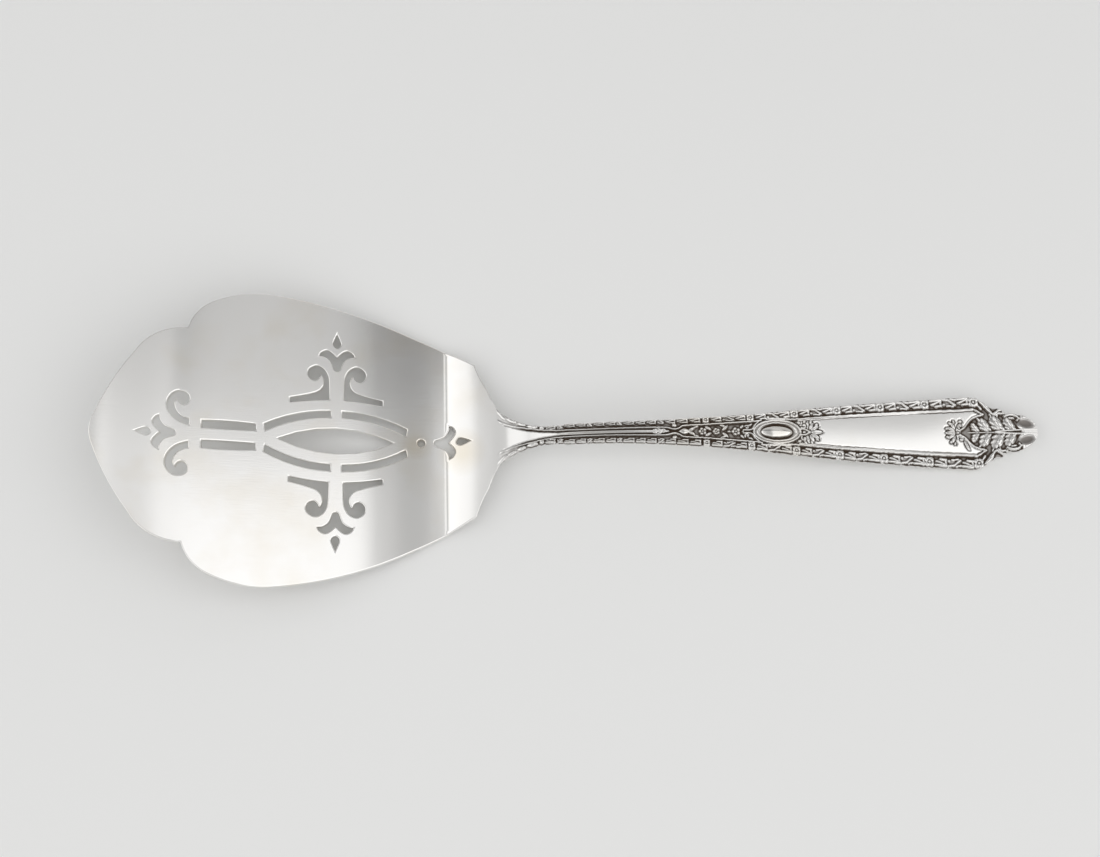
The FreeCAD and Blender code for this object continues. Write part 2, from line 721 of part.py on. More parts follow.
def raised_lines():
    """Lines that frame the neck, the flower field, the boss and the plain panel."""
    width = size("rib_width")
    waist, boss, start = size("waist_station"), size("middle_station"), size("panel_start")
    half, pinch, end = size("rib_half"), size("waist_half"), size("panel_end")
    ring_half = size("boss_length") / 2 + 3 * size("ring_step")
    field = 0.5 * (waist + boss)
    neck = ribbon([Vector(0.55 * size("neck_station"), 1.6 * half, 0),
                   Vector(size("neck_station"), half, 0),
                   Vector(0.5 * (size("neck_station") + waist), half, 0),
                   Vector(waist - 1.6, half + 0.1, 0),
                   Vector(waist, pinch, 0),
                   Vector(waist + 1.8, half + 0.3, 0),
                   Vector(field, 0.5 * (half + 0.3) + 0.33 * size("panel_start_half"), 0),
                   Vector(boss - ring_half + 0.3, 0.8 * size("panel_start_half"), 0)][:7],
                  width)
    middle = 0.5 * (start + end)
    flank = ribbon([Vector(start - 1.2, 0.93 * size("panel_start_half"), 0),
                    Vector(start, size("panel_start_half"), 0),
                    Vector(middle, 0.4 * size("panel_start_half") + 0.63 * size("panel_half"), 0),
                    Vector(0.4 * middle + 0.6 * end, 0.17 * size("panel_start_half")
                           + 0.86 * size("panel_half"), 0),
                    Vector(end, size("panel_half"), 0)], width)
    corner = Vector(end, size("panel_half"), 0)
    point = Vector(end + 1.4, 0.79 * size("panel_half"), 0)
    chamfer = ribbon([corner, 0.5 * (corner + point), point], width)
    ogee = ribbon([point, Vector(end + 0.2, 0.72 * size("panel_half"), 0),
                   Vector(end - 1.5, 0.48 * size("panel_half"), 0),
                   Vector(end - 2.2, 0.28 * size("panel_half"), 0),
                   Vector(end - 2.5, 0.1, 0)], width)
    return mirrored(raised([neck, flank, chamfer, ogee], size("relief")))


def panel():
    """Plain polished panel between its two lines."""
    start, end = size("panel_start") + 0.1, size("panel_end") - 0.1
    rows = ([], [])
    for row, side in zip(rows, (-1, 1)):
        for station, half in ((start, size("panel_start_half")),
                              (0.5 * (start + end), 0.4 * size("panel_start_half")
                               + 0.63 * size("panel_half")),
                              (end, size("panel_half"))):
            row.append(Vector(station, side * (half - 0.1), 0))
    return raised([band(*rows)], size("panel_relief"))


def boss():
    """Polished oval, rounded both ways, with two rings round it."""
    station = size("middle_station")
    long_radius, short_radius = size("boss_length") / 2, size("boss_width") / 2
    level, slope = along(TOP, station)
    height, drop = size("boss_height"), 0.6 * size("boss_height")
    sunk = 0.4
    dome = oval(long_radius, short_radius).extrude(Vector(0, 0, height + sunk))
    dome.translate(Vector(0, 0, -sunk))
    for radius, run, turned in ((short_radius, "X", 90), (long_radius, "Y", 90)):
        round_top = (radius ** 2 + drop ** 2) / (2 * drop)
        roller = Part.makeCylinder(round_top, 4 * long_radius)
        roller.translate(Vector(0, 0, -2 * long_radius))
        axis = Vector(0, 1, 0) if run == "X" else Vector(1, 0, 0)
        roller.rotate(Vector(0, 0, 0), axis, turned)
        roller.translate(Vector(0, 0, height - round_top))
        dome = dome.common(roller)
    dome.Placement = Placement(Vector(station, 0, level),
                               Rotation(Vector(0, 1, 0), -math.degrees(math.atan(slope))))
    step = size("ring_step")
    rings = [ring(station, 0, long_radius + turn * step + 0.1, short_radius + 0.6 * turn * step
                  + 0.1, 0.55 * step) for turn in (1, 2.4)]
    return [dome] + rings


def leafy_end():
    """Central stem of the end, and the rims of the two hollows in its cap."""
    corner, cap, end = size("corner_station"), size("cap_station"), size("handle_reach")
    height = size("relief")
    half = size("cap_half")
    stem = ribbon([Vector(corner - 2.0, 0, 0), Vector(0.5 * (corner + end), 0, 0),
                   Vector(end - 0.3, 0, 0)], 0.45)
    pieces = raised([stem], height)
    lobe = ring(0.42 * cap + 0.58 * end, 0.47 * half, 0.36 * (end - cap), 0.31 * half, 0.35, -14)
    return pieces + mirrored([lobe])


def acanthus():
    """Leaves that spread from the stem of the end, and those on its corners."""
    corner, cap = size("corner_station"), size("cap_station")
    long, half = size("acanthus_leaf"), size("cap_half")
    leaves = []
    for step, reach in enumerate((0.75, 1.25, 1.45, 1.05)):
        station = blend(step, 0, 3, corner - 1.2, cap - 0.7)
        leaves.append(fan(station, 0.45, 55, reach * long, 0.46 * long))
    leaves.append(pointed(corner - 0.35, 0.6 * half, 75, 0.7 * long, 0.3 * long))
    leaves.append(pointed(corner + 1.65, along(RIM, corner + 1.65)[0] - 0.75, -42, 1.75 * long,
                          0.42 * long))
    leaves.append(pointed(cap, along(RIM, cap)[0] - 0.5, 8, 0.8 * long, 0.36 * long))
    return mirrored(leaves)


def joined(pieces):
    return pieces[0].multiFuse(pieces[1:])


groups = [body]
for name, pieces in (("borders", borders()), ("lines", raised_lines()), ("panel", panel()),
                     ("boss", boss()), ("leafy_end", leafy_end())):
    group = doc.addObject("Part::Feature", name)
    group.Shape = joined(pieces)
    groups.append(group)
for name, leaves in (("border_leaves", border_leaves()), ("field_flowers", field_flowers()),
                     ("acanthus", acanthus())):
    group = doc.addObject("Part::Feature", name)
    group.Shape = Part.makeCompound(leaves)
    groups.append(group)

server = doc.addObject("Part::MultiFuse", "server")
server.Label = "server"
server.Shapes = groups
server.setExpression("Placement.Base.x", "(dims.blade_reach - dims.handle_reach) / 2")
doc.recompute()

for item in doc.Objects:
    if "Invalid" in item.State or "Error" in item.State:
        raise RuntimeError("%s did not recompute" % item.Label)
shape = server.Shape
if shape.isNull() or not shape.isValid() or len(shape.Solids) != 1:
    raise RuntimeError("the server isn't one valid solid")
print("volume %.0f mm3, box %s" % (shape.Volume, shape.BoundBox))

os.makedirs("parts", exist_ok=True)
shape.exportStep("parts/%s.step" % server.Label)
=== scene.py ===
"""Pierced cucumber server in silver, with a relief handle, on a pale floor."""
import math

import bmesh
import bpy
import numpy as np
from mathutils import Matrix, Vector


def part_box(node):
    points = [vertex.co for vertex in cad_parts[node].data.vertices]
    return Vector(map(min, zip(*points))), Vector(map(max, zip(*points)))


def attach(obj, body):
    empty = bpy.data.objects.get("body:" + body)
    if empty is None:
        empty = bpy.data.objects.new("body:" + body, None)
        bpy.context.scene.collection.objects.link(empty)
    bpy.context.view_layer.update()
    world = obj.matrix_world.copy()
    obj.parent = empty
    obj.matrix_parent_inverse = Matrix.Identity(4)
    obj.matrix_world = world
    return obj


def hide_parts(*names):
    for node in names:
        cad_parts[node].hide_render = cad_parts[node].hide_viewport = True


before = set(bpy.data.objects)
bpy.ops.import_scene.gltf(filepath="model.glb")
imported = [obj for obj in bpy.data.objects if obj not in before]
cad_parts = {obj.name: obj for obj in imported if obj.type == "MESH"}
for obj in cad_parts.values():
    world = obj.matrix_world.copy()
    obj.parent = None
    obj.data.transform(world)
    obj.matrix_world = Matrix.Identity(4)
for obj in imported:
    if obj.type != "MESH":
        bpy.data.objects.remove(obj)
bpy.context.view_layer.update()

bl_info = {
    "name": "Pierced cucumber server",
    "version": (1, 0, 0),
    "blender": (4, 5, 0),
    "location": "3D View > Sidebar > Server",
    "description": "Builds a pierced silver cucumber server with a leaf-bordered handle",
    "category": "Add Mesh",
}

MM = 0.001
NODE_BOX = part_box("server")

# Plan of the server in millimetres. Stations run along X from the root, where
# the blade narrows into the neck, and the second number is the half width.
TIP = (-62.75, 0.0)
NOTCH = (-48.05, 18.1)
CREASE = -6.3
CUT_STATION = 1.6
BOSS = 48.85
END = 93.05
RIM_RUNS = (
    ((-62.63, 1.05), (-62.15, 2.6)),
    ((-59.6, 8.15), (-56.2, 13.45)),
    ((-53.0, 16.75), NOTCH),
    ((-46.4, 21.2), (-43.9, 23.1)),
    ((-39.2, 24.65), (-34.6, 24.92)),
    ((-23.3, 22.85), (-12.0, 18.64)),
    ((-6.4, 16.0), (-1.15, 13.1)),
    ((-0.35, 11.0), (0.95, 8.5)),
    ((1.85, 6.3), (3.0, 4.3)),
    ((7.2, 2.2), (14.0, 1.7)),
    ((31.5, 2.15), (BOSS, 3.55)),
    ((66.5, 5.28), (80.0, 6.22)),
    ((81.8, 6.3), (83.3, 6.15)),
    ((84.5, 5.15), (85.9, 4.3)),
    ((86.9, 4.15), (87.5, 3.75)),
    ((87.8, 3.3), (88.6, 3.3)),
    ((90.2, 3.1), (91.9, 2.2)),
    ((92.75, 1.3), (END, 0.0)),
)
RIM_STEPS, OPENING_STEPS = 14, 6

# Heights over the table: station, height and slope at each knot
BLADE_TOP = ((TIP[0], 13.0, -0.16), (-56.0, 11.72, -0.215), (-47.0, 9.5, -0.27),
             (-36.0, 6.45, -0.275), (-26.0, 3.95, -0.225), (-17.0, 2.2, -0.15),
             (-11.0, 1.45, -0.085), (CREASE, 1.2, -0.02))
NECK_TOP = ((CREASE, 1.2, 0.44), (-3.4, 2.22, 0.29), (1.0, 3.33, 0.235), (8.0, 4.78, 0.185),
            (15.0, 5.85, 0.11), (22.0, 6.3, 0.02), (36.0, 5.73, -0.068), (52.0, 4.35, -0.086),
            (70.0, 2.86, -0.077), (78.0, 2.33, -0.045), (84.0, 2.2, 0.0), (END, 2.2, 0.0))
NECK_UNDER = ((-6.0, 0.02, 0.33), (1.0, 1.95, 0.23), (8.0, 3.3, 0.16), (15.0, 4.2, 0.09),
              (22.0, 4.6, 0.02), (36.0, 4.0, -0.08), (52.0, 2.35, -0.105),
              (68.0, 0.75, -0.085), (76.0, 0.2, -0.04), (80.0, 0.05, 0.0),
              (END, 0.05, 0.0))
# How far the blade is dished, for the square of the distance across
DISH = 0.0005
# Thickness of the blade, radius worn onto the edges and depth of the struck relief
GAUGE = 1.2
EDGE_ROUNDING = 0.22
RELIEF_DEPTH = 0.42


def hermite(knots, station):
    """Smooth height through knots of (station, height, slope)."""
    table = np.array(knots)
    station = np.clip(station, table[0, 0], table[-1, 0])
    piece = np.clip(np.searchsorted(table[:, 0], station, side="right") - 1, 0, len(table) - 2)
    left, right = table[piece], table[piece + 1]
    run = right[..., 0] - left[..., 0]
    share = (station - left[..., 0]) / run
    return ((2 * share ** 3 - 3 * share ** 2 + 1) * left[..., 1]
            + (share ** 3 - 2 * share ** 2 + share) * run * left[..., 2]
            + (3 * share ** 2 - 2 * share ** 3) * right[..., 1]
            + (share ** 3 - share ** 2) * run * right[..., 2])


def upper_face(station, across):
    """Height of the plain upper face, dished a little across the blade."""
    station, across = np.asarray(station, float), np.asarray(across, float)
    height = np.where(station < CREASE, hermite(BLADE_TOP, station), hermite(NECK_TOP, station))
    dish = DISH * np.clip((8 - station) / 16, 0, 1)
    return height + dish * across ** 2


def run_points(start, runs, steps):
    """Points along a chain of runs: one corner is a line, two an arc, more a smooth curve."""
    points = [np.array(start, float)]
    for run in runs:
        corners = [points[-1]] + [np.array(corner, float) for corner in run]
        if len(run) == 1:
            points.append(corners[1])
        elif len(run) == 2:
            points += arc_points(*corners, steps)
        else:
            points += curve_points(corners, steps)
    return points


def arc_points(first, middle, last, steps):
    """Points after the first one on the circle through three points."""
    to_middle, to_last = middle - first, last - first
    cross = to_middle[0] * to_last[1] - to_middle[1] * to_last[0]
    if abs(cross) < 1e-9:
        return [first + to_last * step / steps for step in range(1, steps + 1)]
    centre = first + np.array([
        to_last[1] * to_middle.dot(to_middle) - to_middle[1] * to_last.dot(to_last),
        to_middle[0] * to_last.dot(to_last) - to_last[0] * to_middle.dot(to_middle),
    ]) / (2 * cross)
    angles = [math.atan2(*(point - centre)[::-1]) for point in (first, middle, last)]
    turn = math.copysign(1, cross)
    sweep = (angles[2] - angles[0]) * turn % (2 * math.pi) * turn
    radius = np.linalg.norm(first - centre)
    return [centre + radius * np.array([math.cos(angles[0] + sweep * step / steps),
                                        math.sin(angles[0] + sweep * step / steps)])
            for step in range(1, steps + 1)]


def curve_points(corners, steps):
    """Points after the first one on a smooth curve through corners."""
    padded = [2 * corners[0] - corners[1]] + corners + [2 * corners[-1] - corners[-2]]
    points = []
    for before, start, end, after in zip(padded, padded[1:], padded[2:], padded[3:]):
        for step in range(1, steps + 1):
            share = step / steps
            points.append(0.5 * (2 * start + (end - before) * share
                                 + (2 * before - 5 * start + 4 * end - after) * share ** 2
                                 + (3 * start - before - 3 * end + after) * share ** 3))
    return points


RIM = np.array(run_points(TIP, RIM_RUNS, RIM_STEPS))


def half_width(station):
    """Half width of the neck and handle at a station."""
    handle = RIM[RIM[:, 0] > -1.0]
    return np.interp(station, handle[:, 0], handle[:, 1])


# Openings of the blade, in millimetres. Each is a start and a chain of runs. CROSS is
# the station of the two side arms and of the middle of the lens.
CROSS = -24.15


def mirror_pair(start, runs):
    """An opening and its mirror image across the long axis."""
    flipped = [[(x, -y) for x, y in run] for run in runs]
    return [(start, runs), ((start[0], -start[1]), flipped)]


def lens():
    """Pointed opening in the middle of the cross."""
    left, right = (CROSS - 9.4, 0), (CROSS + 9.4, 0)
    return [(left, [[(CROSS, 2.14), right], [(CROSS, -2.14), left]])]


def beside_cross(side):
    """Gives the places on one side of the cross, from their distance to it."""
    return lambda out, half: (CROSS + side * out, half)


def curved_slots(side):
    """Slots that follow the lens."""
    spot = beside_cross(side)
    start = spot(0.95, 4.02)
    return mirror_pair(start, [[spot(0.95, 5.17)], [spot(6.4, 4.42), spot(11.55, 2.38)],
                               [spot(11.35, 1.2)], [spot(6.3, 3.28), start]])


def straight_slots():
    """Slots between the lens and the tip."""
    start = (-37.0, 1.08)
    return mirror_pair(start, [[(-37.0, 2.22)], [(-41.2, 2.42), (-45.4, 2.34)],
                               [(-45.4, 1.02)], [(-41.2, 1.0), start]])


def footed_scrolls(side):
    """Scrolls of the two side arms, each on a long foot."""
    spot = beside_cross(side)
    return mirror_pair(spot(1.2, 7.08), [
        [spot(1.27, 9.9)],
        [spot(1.42, 11.1), spot(1.95, 12.2), spot(2.75, 12.82), spot(3.5, 12.93),
         spot(4.25, 12.55)],
        [spot(4.72, 11.35), spot(3.8, 10.33)],
        [spot(3.15, 10.55), spot(2.8, 11.15)],
        [spot(2.6, 11.33), spot(2.3, 11.05), spot(2.06, 10.2), spot(2.28, 9.25),
         spot(3.0, 8.5), spot(4.2, 8.02), spot(5.8, 7.58), spot(7.52, 7.18)],
        [spot(7.5, 6.33)],
        [spot(5.6, 6.65), spot(3.5, 6.9), spot(1.2, 7.08)]])


def hooks():
    """Hooked scrolls near the tip."""
    start = (-47.4, 1.36)
    return mirror_pair(start, [
        [(-48.2, 1.6), (-49.3, 2.12), (-50.2, 2.98), (-50.74, 3.95), (-50.88, 4.95),
         (-50.6, 5.95), (-50.0, 6.72), (-49.2, 7.12), (-48.4, 7.05)],
        [(-47.38, 5.85), (-48.3, 4.72)],
        [(-48.95, 5.0), (-49.22, 5.5)],
        [(-49.45, 5.6), (-49.68, 5.25), (-49.72, 4.6), (-49.45, 3.8), (-48.9, 3.1),
         (-48.15, 2.66), (-47.4, 2.48)],
        [start]])


def winged_leaf(place):
    """Stem with two wings. The function place maps (along, across) to a point."""
    foot, wing_tip, crotch = (0, 0), (2.55, 2.88), (2.35, 0.0)
    under = [(0.12, 0.38), (0.45, 0.55), (1.1, 0.78), (1.75, 1.1), (2.2, 1.6), (2.5, 2.2)]
    over = [(3.15, 2.55), (3.55, 1.85), (3.45, 1.25), (3.0, 0.65)]
    runs = [under + [wing_tip], over + [crotch]]
    for run in (over[::-1] + [wing_tip], under[::-1] + [foot]):
        runs.append([(along, -across) for along, across in run])
    return [(place(*foot), [[place(*point) for point in run] for run in runs])]


def drop(place):
    """Opening that is round at one end and pointed at the other."""
    return [(place(0, 0), [[place(0.66, 0.64), place(1.1, 0.56)],
                           [place(1.75, 0.3), place(2.45, 0)],
                           [place(1.75, -0.3), place(1.1, -0.56)],
                           [place(0.66, -0.64), place(0, 0)]])]


def eye():
    """Small round opening between the lens and the root."""
    start = (-10.9, 0.0)
    return [(start, [[(-10.25, 0.66), (-9.6, 0.0)], [(-10.25, -0.66), start]])]


def all_openings():
    """Outlines of all the openings. The arms of the cross end in a leaf and a drop each."""
    arms = (((lambda along, across: (CROSS + across, along)), 12.15, 16.15),
            ((lambda along, across: (CROSS + across, -along)), 12.15, 16.15),
            ((lambda along, across: (-along, across)), 49.4, 53.2),
            ((lambda along, across: (along, across)), -8.1, -4.4))
    openings = lens() + eye() + straight_slots() + hooks()
    for side in (-1, 1):
        openings += curved_slots(side) + footed_scrolls(side)
    for arm, leaf_start, drop_start in arms:
        for shape, start in ((winged_leaf, leaf_start), (drop, drop_start)):
            openings += shape(lambda along, across: arm(start + along, across))
    return [run_points(start, runs, OPENING_STEPS) for start, runs in openings]


class Relief:
    """Height of the struck ornament over the sunk ground, in millimetres, on a grid."""

    def __init__(self, station, across):
        self.x, self.y = station, across
        self.height = np.zeros_like(station)

    def rows(self, low, high):
        """Rows of the grid between two stations."""
        return np.flatnonzero((self.x[:, 0] >= low) & (self.x[:, 0] <= high))

    def local(self, rows, centre, turn):
        """Grid points as seen from a centre, turned by an angle in degrees."""
        x, y = self.x[rows] - centre[0], self.y[rows] - centre[1]
        cos, sin = math.cos(math.radians(turn)), math.sin(math.radians(turn))
        return x * cos + y * sin, y * cos - x * sin

    def lift(self, rows, height):
        """Raises the relief wherever it is lower than a height."""
        self.height[rows] = np.maximum(self.height[rows], height)

    def pair(self, shape, centre, turn, *sizes):
        """The same shape on both sides of the long axis."""
        shape(centre, turn, *sizes)
        shape((centre[0], -centre[1]), -turn, *sizes)

    def dome(self, centre, turn, long, wide, height=RELIEF_DEPTH):
        """Oval dome."""
        rows = self.rows(centre[0] - long, centre[0] + long)
        u, v = self.local(rows, centre, turn)
        self.lift(rows, height * np.sqrt(np.clip(1 - (u / long) ** 2 - (v / wide) ** 2, 0, 1)))

    def leaf(self, centre, turn, long, wide, height=RELIEF_DEPTH, vein=0.35):
        """Leaf pointed at both ends, with a groove down its middle."""
        rows = self.rows(centre[0] - long, centre[0] + long)
        u, v = self.local(rows, centre, turn)
        taper = np.clip(1 - (u / long) ** 2, 0, 1)
        edge = wide * taper + 1e-6
        body = np.sqrt(np.clip(1 - (v / edge) ** 2, 0, 1)) * taper ** 0.3
        self.lift(rows, height * body * (1 - vein * np.exp(-(v / (0.25 * wide)) ** 2)))

    def ring(self, centre, long, wide, thick, height=RELIEF_DEPTH):
        """Raised oval line."""
        rows = self.rows(centre[0] - long - thick, centre[0] + long + thick)
        u, v = self.local(rows, centre, 0)
        spread = np.sqrt((u / long) ** 2 + (v / wide) ** 2) + 1e-6
        slope = np.sqrt((u / long ** 2) ** 2 + (v / wide ** 2) ** 2) / spread + 1e-6
        away = (spread - 1) / slope
        self.lift(rows, height * np.sqrt(np.clip(1 - (away / thick) ** 2, 0, 1)))

    def line(self, points, thick, height=RELIEF_DEPTH, fine=6):
        """Raised line of even width along a smooth row of points."""
        runs = [points[1:]] if len(points) > 2 else [[points[1]]]
        path = run_points(points[0], runs, fine)
        stations = [point[0] for point in path]
        rows = self.rows(min(stations) - thick, max(stations) + thick)
        x, y = self.x[rows], self.y[rows]
        away = np.full(x.shape, 1e3)
        for start, end in zip(path, path[1:]):
            run = end - start
            share = np.clip(((x - start[0]) * run[0] + (y - start[1]) * run[1])
                            / max(run.dot(run), 1e-9), 0, 1)
            away = np.minimum(away, np.hypot(x - start[0] - share * run[0],
                                             y - start[1] - share * run[1]))
        self.lift(rows, height * np.sqrt(np.clip(1 - (away / thick) ** 2, 0, 1)))

    def lines(self, points, thick, height=RELIEF_DEPTH):
        """The same raised line on both sides of the long axis."""
        self.line(points, thick, height)
        self.line([(x, -y) for x, y in points], thick, height)

    def curl(self, centre, turn, radius, sweep, thick, height=RELIEF_DEPTH):
        """Scroll that winds in to a bead."""
        points = []
        for step in range(8):
            share = step / 7
            angle = math.radians(turn + sweep * share)
            reach = radius * (1 - 0.7 * share)
            points.append((centre[0] + reach * math.cos(angle),
                           centre[1] + reach * math.sin(angle)))
        self.line(points, thick, height, 3)
        self.dome(centre, 0, 1.4 * thick, 1.4 * thick, height)


# Lines along the handle: each station with a width, or a distance from the long axis
BORDER_WIDTH = ((1.6, 0.55), (5, 0.8), (12, 0.72), (22, 0.72), (30, 0.85), (37, 0.95),
                (45, 1.2), (60, 1.42), (72, 1.58), (84, 1.6))
RIB_LINE = ((2.4, 3.0), (3.4, 2.45), (5, 1.83), (8, 1.2), (11, 0.72), (14, 0.58), (20, 0.56),
            (28, 0.66), (30, 0.66), (30.7, 0.55), (31.3, 0.36), (31.9, 0.36), (32.5, 0.6),
            (33.2, 0.95), (36, 1.12), (40, 1.4), (44, 1.7), (46.5, 2.0), (52, 2.22), (60, 2.87),
            (70, 3.52), (82.7, 4.14))
TROUGH_LINE = ((1.6, 3.4), (3.4, 2.3), (5, 1.62), (6.5, 1.12), (8, 0.76), (10, 0.44), (12, 0.26),
               (14, 0.1), (15, -0.2))
PANEL_OGEE = ((80.0, 0.5), (80.8, 1.05), (81.4, 1.8), (82.1, 2.5), (83.0, 2.95), (84.2, 3.2))
PANEL_CORNER, PANEL_POINT = (82.6, 4.12), (84.2, 3.12)
# Flowers of the borders, with station and half size
FLOWERS = ((36.9, 0.5), (44.4, 0.56), (51.9, 0.62), (59.15, 0.66), (66.6, 0.68), (74.3, 0.7),
           (82.7, 0.74))
# Start and end of each leaf of the neck, and how far the leaves turn with the edge
NECK_LEAVES = ((2.3, 3.9), (4.0, 5.5), (5.7, 7.1), (7.2, 9.1), (9.3, 10.1), (10.3, 12.0),
               (12.3, 13.2), (13.4, 15.2), (15.4, 17.0), (17.2, 18.0), (18.2, 20.1),
               (20.3, 21.9), (22.1, 22.9), (23.1, 25.0), (25.2, 26.8), (27.0, 28.6),
               (28.8, 29.9), (30.1, 31.8), (32.0, 33.9), (34.1, 36.0))
TURNED_UNTIL = 12


def along(line, station):
    """Distance from the long axis of one of the lines, at a station."""
    table = np.array(line)
    return np.interp(station, table[:, 0], table[:, 1])


def flower(relief, centre, radius, height):
    """Square flower of four petals, with a sunk ring round its eye."""
    rows = relief.rows(centre[0] - 1.1 * radius, centre[0] + 1.1 * radius)
    u, v = relief.local(rows, centre, 0)
    u, v = np.abs(u) / radius, np.abs(v) / radius
    plate = np.clip(1 - u ** 4 - v ** 4, 0, 1) ** 0.4
    notch = np.exp(-(np.minimum(u, v) / 0.13) ** 2) * np.clip(np.maximum(u, v) - 0.35, 0, 0.6)
    away = np.hypot(u, v)
    sunk = np.exp(-((away - 0.36) / 0.11) ** 2)
    relief.lift(rows, height * plate * np.clip(1 - 0.9 * sunk - 1.1 * notch, 0, 1))


def ridges(relief, centre, side, long, wide, rows):
    """Short rounded ridges laid out inside one border leaf."""
    for start, end, thick, height in rows:
        (u0, v0), (u1, v1) = start, end
        relief.line([(centre[0] + u0 * long, centre[1] + side * v0 * wide),
                     (centre[0] + u1 * long, centre[1] + side * v1 * wide)],
                    thick * wide, height)


def leaf_bed(relief, centre, side, long, wide, height):
    """Low bed of a border leaf, pointed at its left end and slanted at its right."""
    rows = relief.rows(centre[0] - 1.1 * long, centre[0] + 1.1 * long)
    u, v = relief.local(rows, centre, 0)
    u, v = u / long - 0.1 * side * v / wide, side * v / wide
    reach = 0.35 + 0.6 * np.sqrt(np.clip((u + 1) / 2, 0, 1))
    body = np.clip(1 - np.abs(u) ** 6, 0, 1) * np.clip(1 - (np.abs(v) / reach) ** 6, 0, 1)
    relief.lift(rows, height * body ** 0.4)


def folded_leaf(relief, centre, side, long, wide, height):
    """Border leaf folded like a Z, that widens towards the tail."""
    leaf_bed(relief, centre, side, long, wide, 0.3 * height)
    ridges(relief, centre, side, long, wide, (
        ((-0.95, 0.5), (0.85, 0.72), 0.28, height),
        ((-0.75, -0.3), (0.85, 0.5), 0.27, height * 0.95),
        ((0.0, -0.72), (0.9, -0.62), 0.3, height),
        ((0.9, 0.55), (0.8, -0.5), 0.24, height * 0.9)))


def scroll_leaf(relief, centre, side, long, wide, height):
    """Border leaf that rolls over from a ball at its inner corner."""
    leaf_bed(relief, centre, side, long, wide, 0.25 * height)
    spot = (centre[0] - 0.72 * long, centre[1] - side * 0.45 * wide)
    relief.dome(spot, 0, 0.24 * long, 0.36 * wide, height)
    ridges(relief, centre, side, long, wide, (
        ((-0.85, 0.68), (-0.1, 0.45), 0.28, height),
        ((-0.1, 0.45), (0.85, -0.55), 0.3, height),
        ((0.25, 0.75), (0.9, 0.6), 0.22, height * 0.85),
        ((-0.3, -0.78), (0.6, -0.8), 0.2, height * 0.8)))


def border(relief, side):
    """Leaves and flowers along one edge of the handle."""
    def middle(station, share=0.5):
        wide = along(BORDER_WIDTH, station)
        return station, side * (half_width(station) - share * wide)

    height = RELIEF_DEPTH
    ends = [station for station, _ in FLOWERS[1:]] + [None]
    for (station, radius), end in zip(FLOWERS, ends):
        flower(relief, middle(station, 0.52), radius * 1.15, height)
        if end is None:
            continue
        pitch = end - station
        wide = 0.5 * along(BORDER_WIDTH, station)
        for shape, share, long in ((folded_leaf, 0.235, 0.118), (scroll_leaf, 0.505, 0.145),
                                   (folded_leaf, 0.775, 0.118)):
            shape(relief, middle(station + share * pitch), side, long * pitch, wide, height)
    for start, end in NECK_LEAVES:
        wide = 0.5 * along(BORDER_WIDTH, (start + end) / 2)
        spot = middle((start + end) / 2)
        if end < TURNED_UNTIL:
            rise = middle(end)[1] - middle(start)[1]
            turn = math.degrees(math.atan2(rise, end - start))
            long = 0.5 * math.hypot(rise, end - start)
            relief.dome(spot, turn, long, 0.8 * wide, height)
            relief.dome((spot[0] + 0.3 * (end - start), spot[1] + 0.3 * rise), turn + side * 25,
                        0.45 * long, 0.7 * wide, 1.1 * height)
        else:
            shape = scroll_leaf if end - start < 1.2 else folded_leaf
            shape(relief, spot, side, 0.5 * (end - start), wide, height)


def ribs(relief):
    """Raised lines inside the borders, along the neck and round the panel."""
    def part(low, high, shift=0.0):
        stations = [low] + [x for x, _ in RIB_LINE if low < x < high] + [high]
        return [(x, float(along(RIB_LINE, x)) + shift) for x in stations]

    relief.lines(part(2.6, 30.2), 0.13, 0.4)
    relief.lines(part(30.0, 46.2), 0.15)
    relief.lines(part(50.5, 82.6), 0.15)
    relief.lines(part(52.5, 82.4, -0.26), 0.1, 0.36)
    relief.lines([(12.5, 0.0), (13.5, 0.12), (20, 0.12), (28, 0.1), (30.3, 0.05)], 0.14, 0.3)
    relief.lines([PANEL_CORNER, (83.4, 3.62), PANEL_POINT], 0.15)
    relief.lines([PANEL_POINT, (83.0, 2.85), (82.1, 2.4), (81.4, 1.72), (80.8, 0.95),
                  (80.0, 0.42)], 0.15)


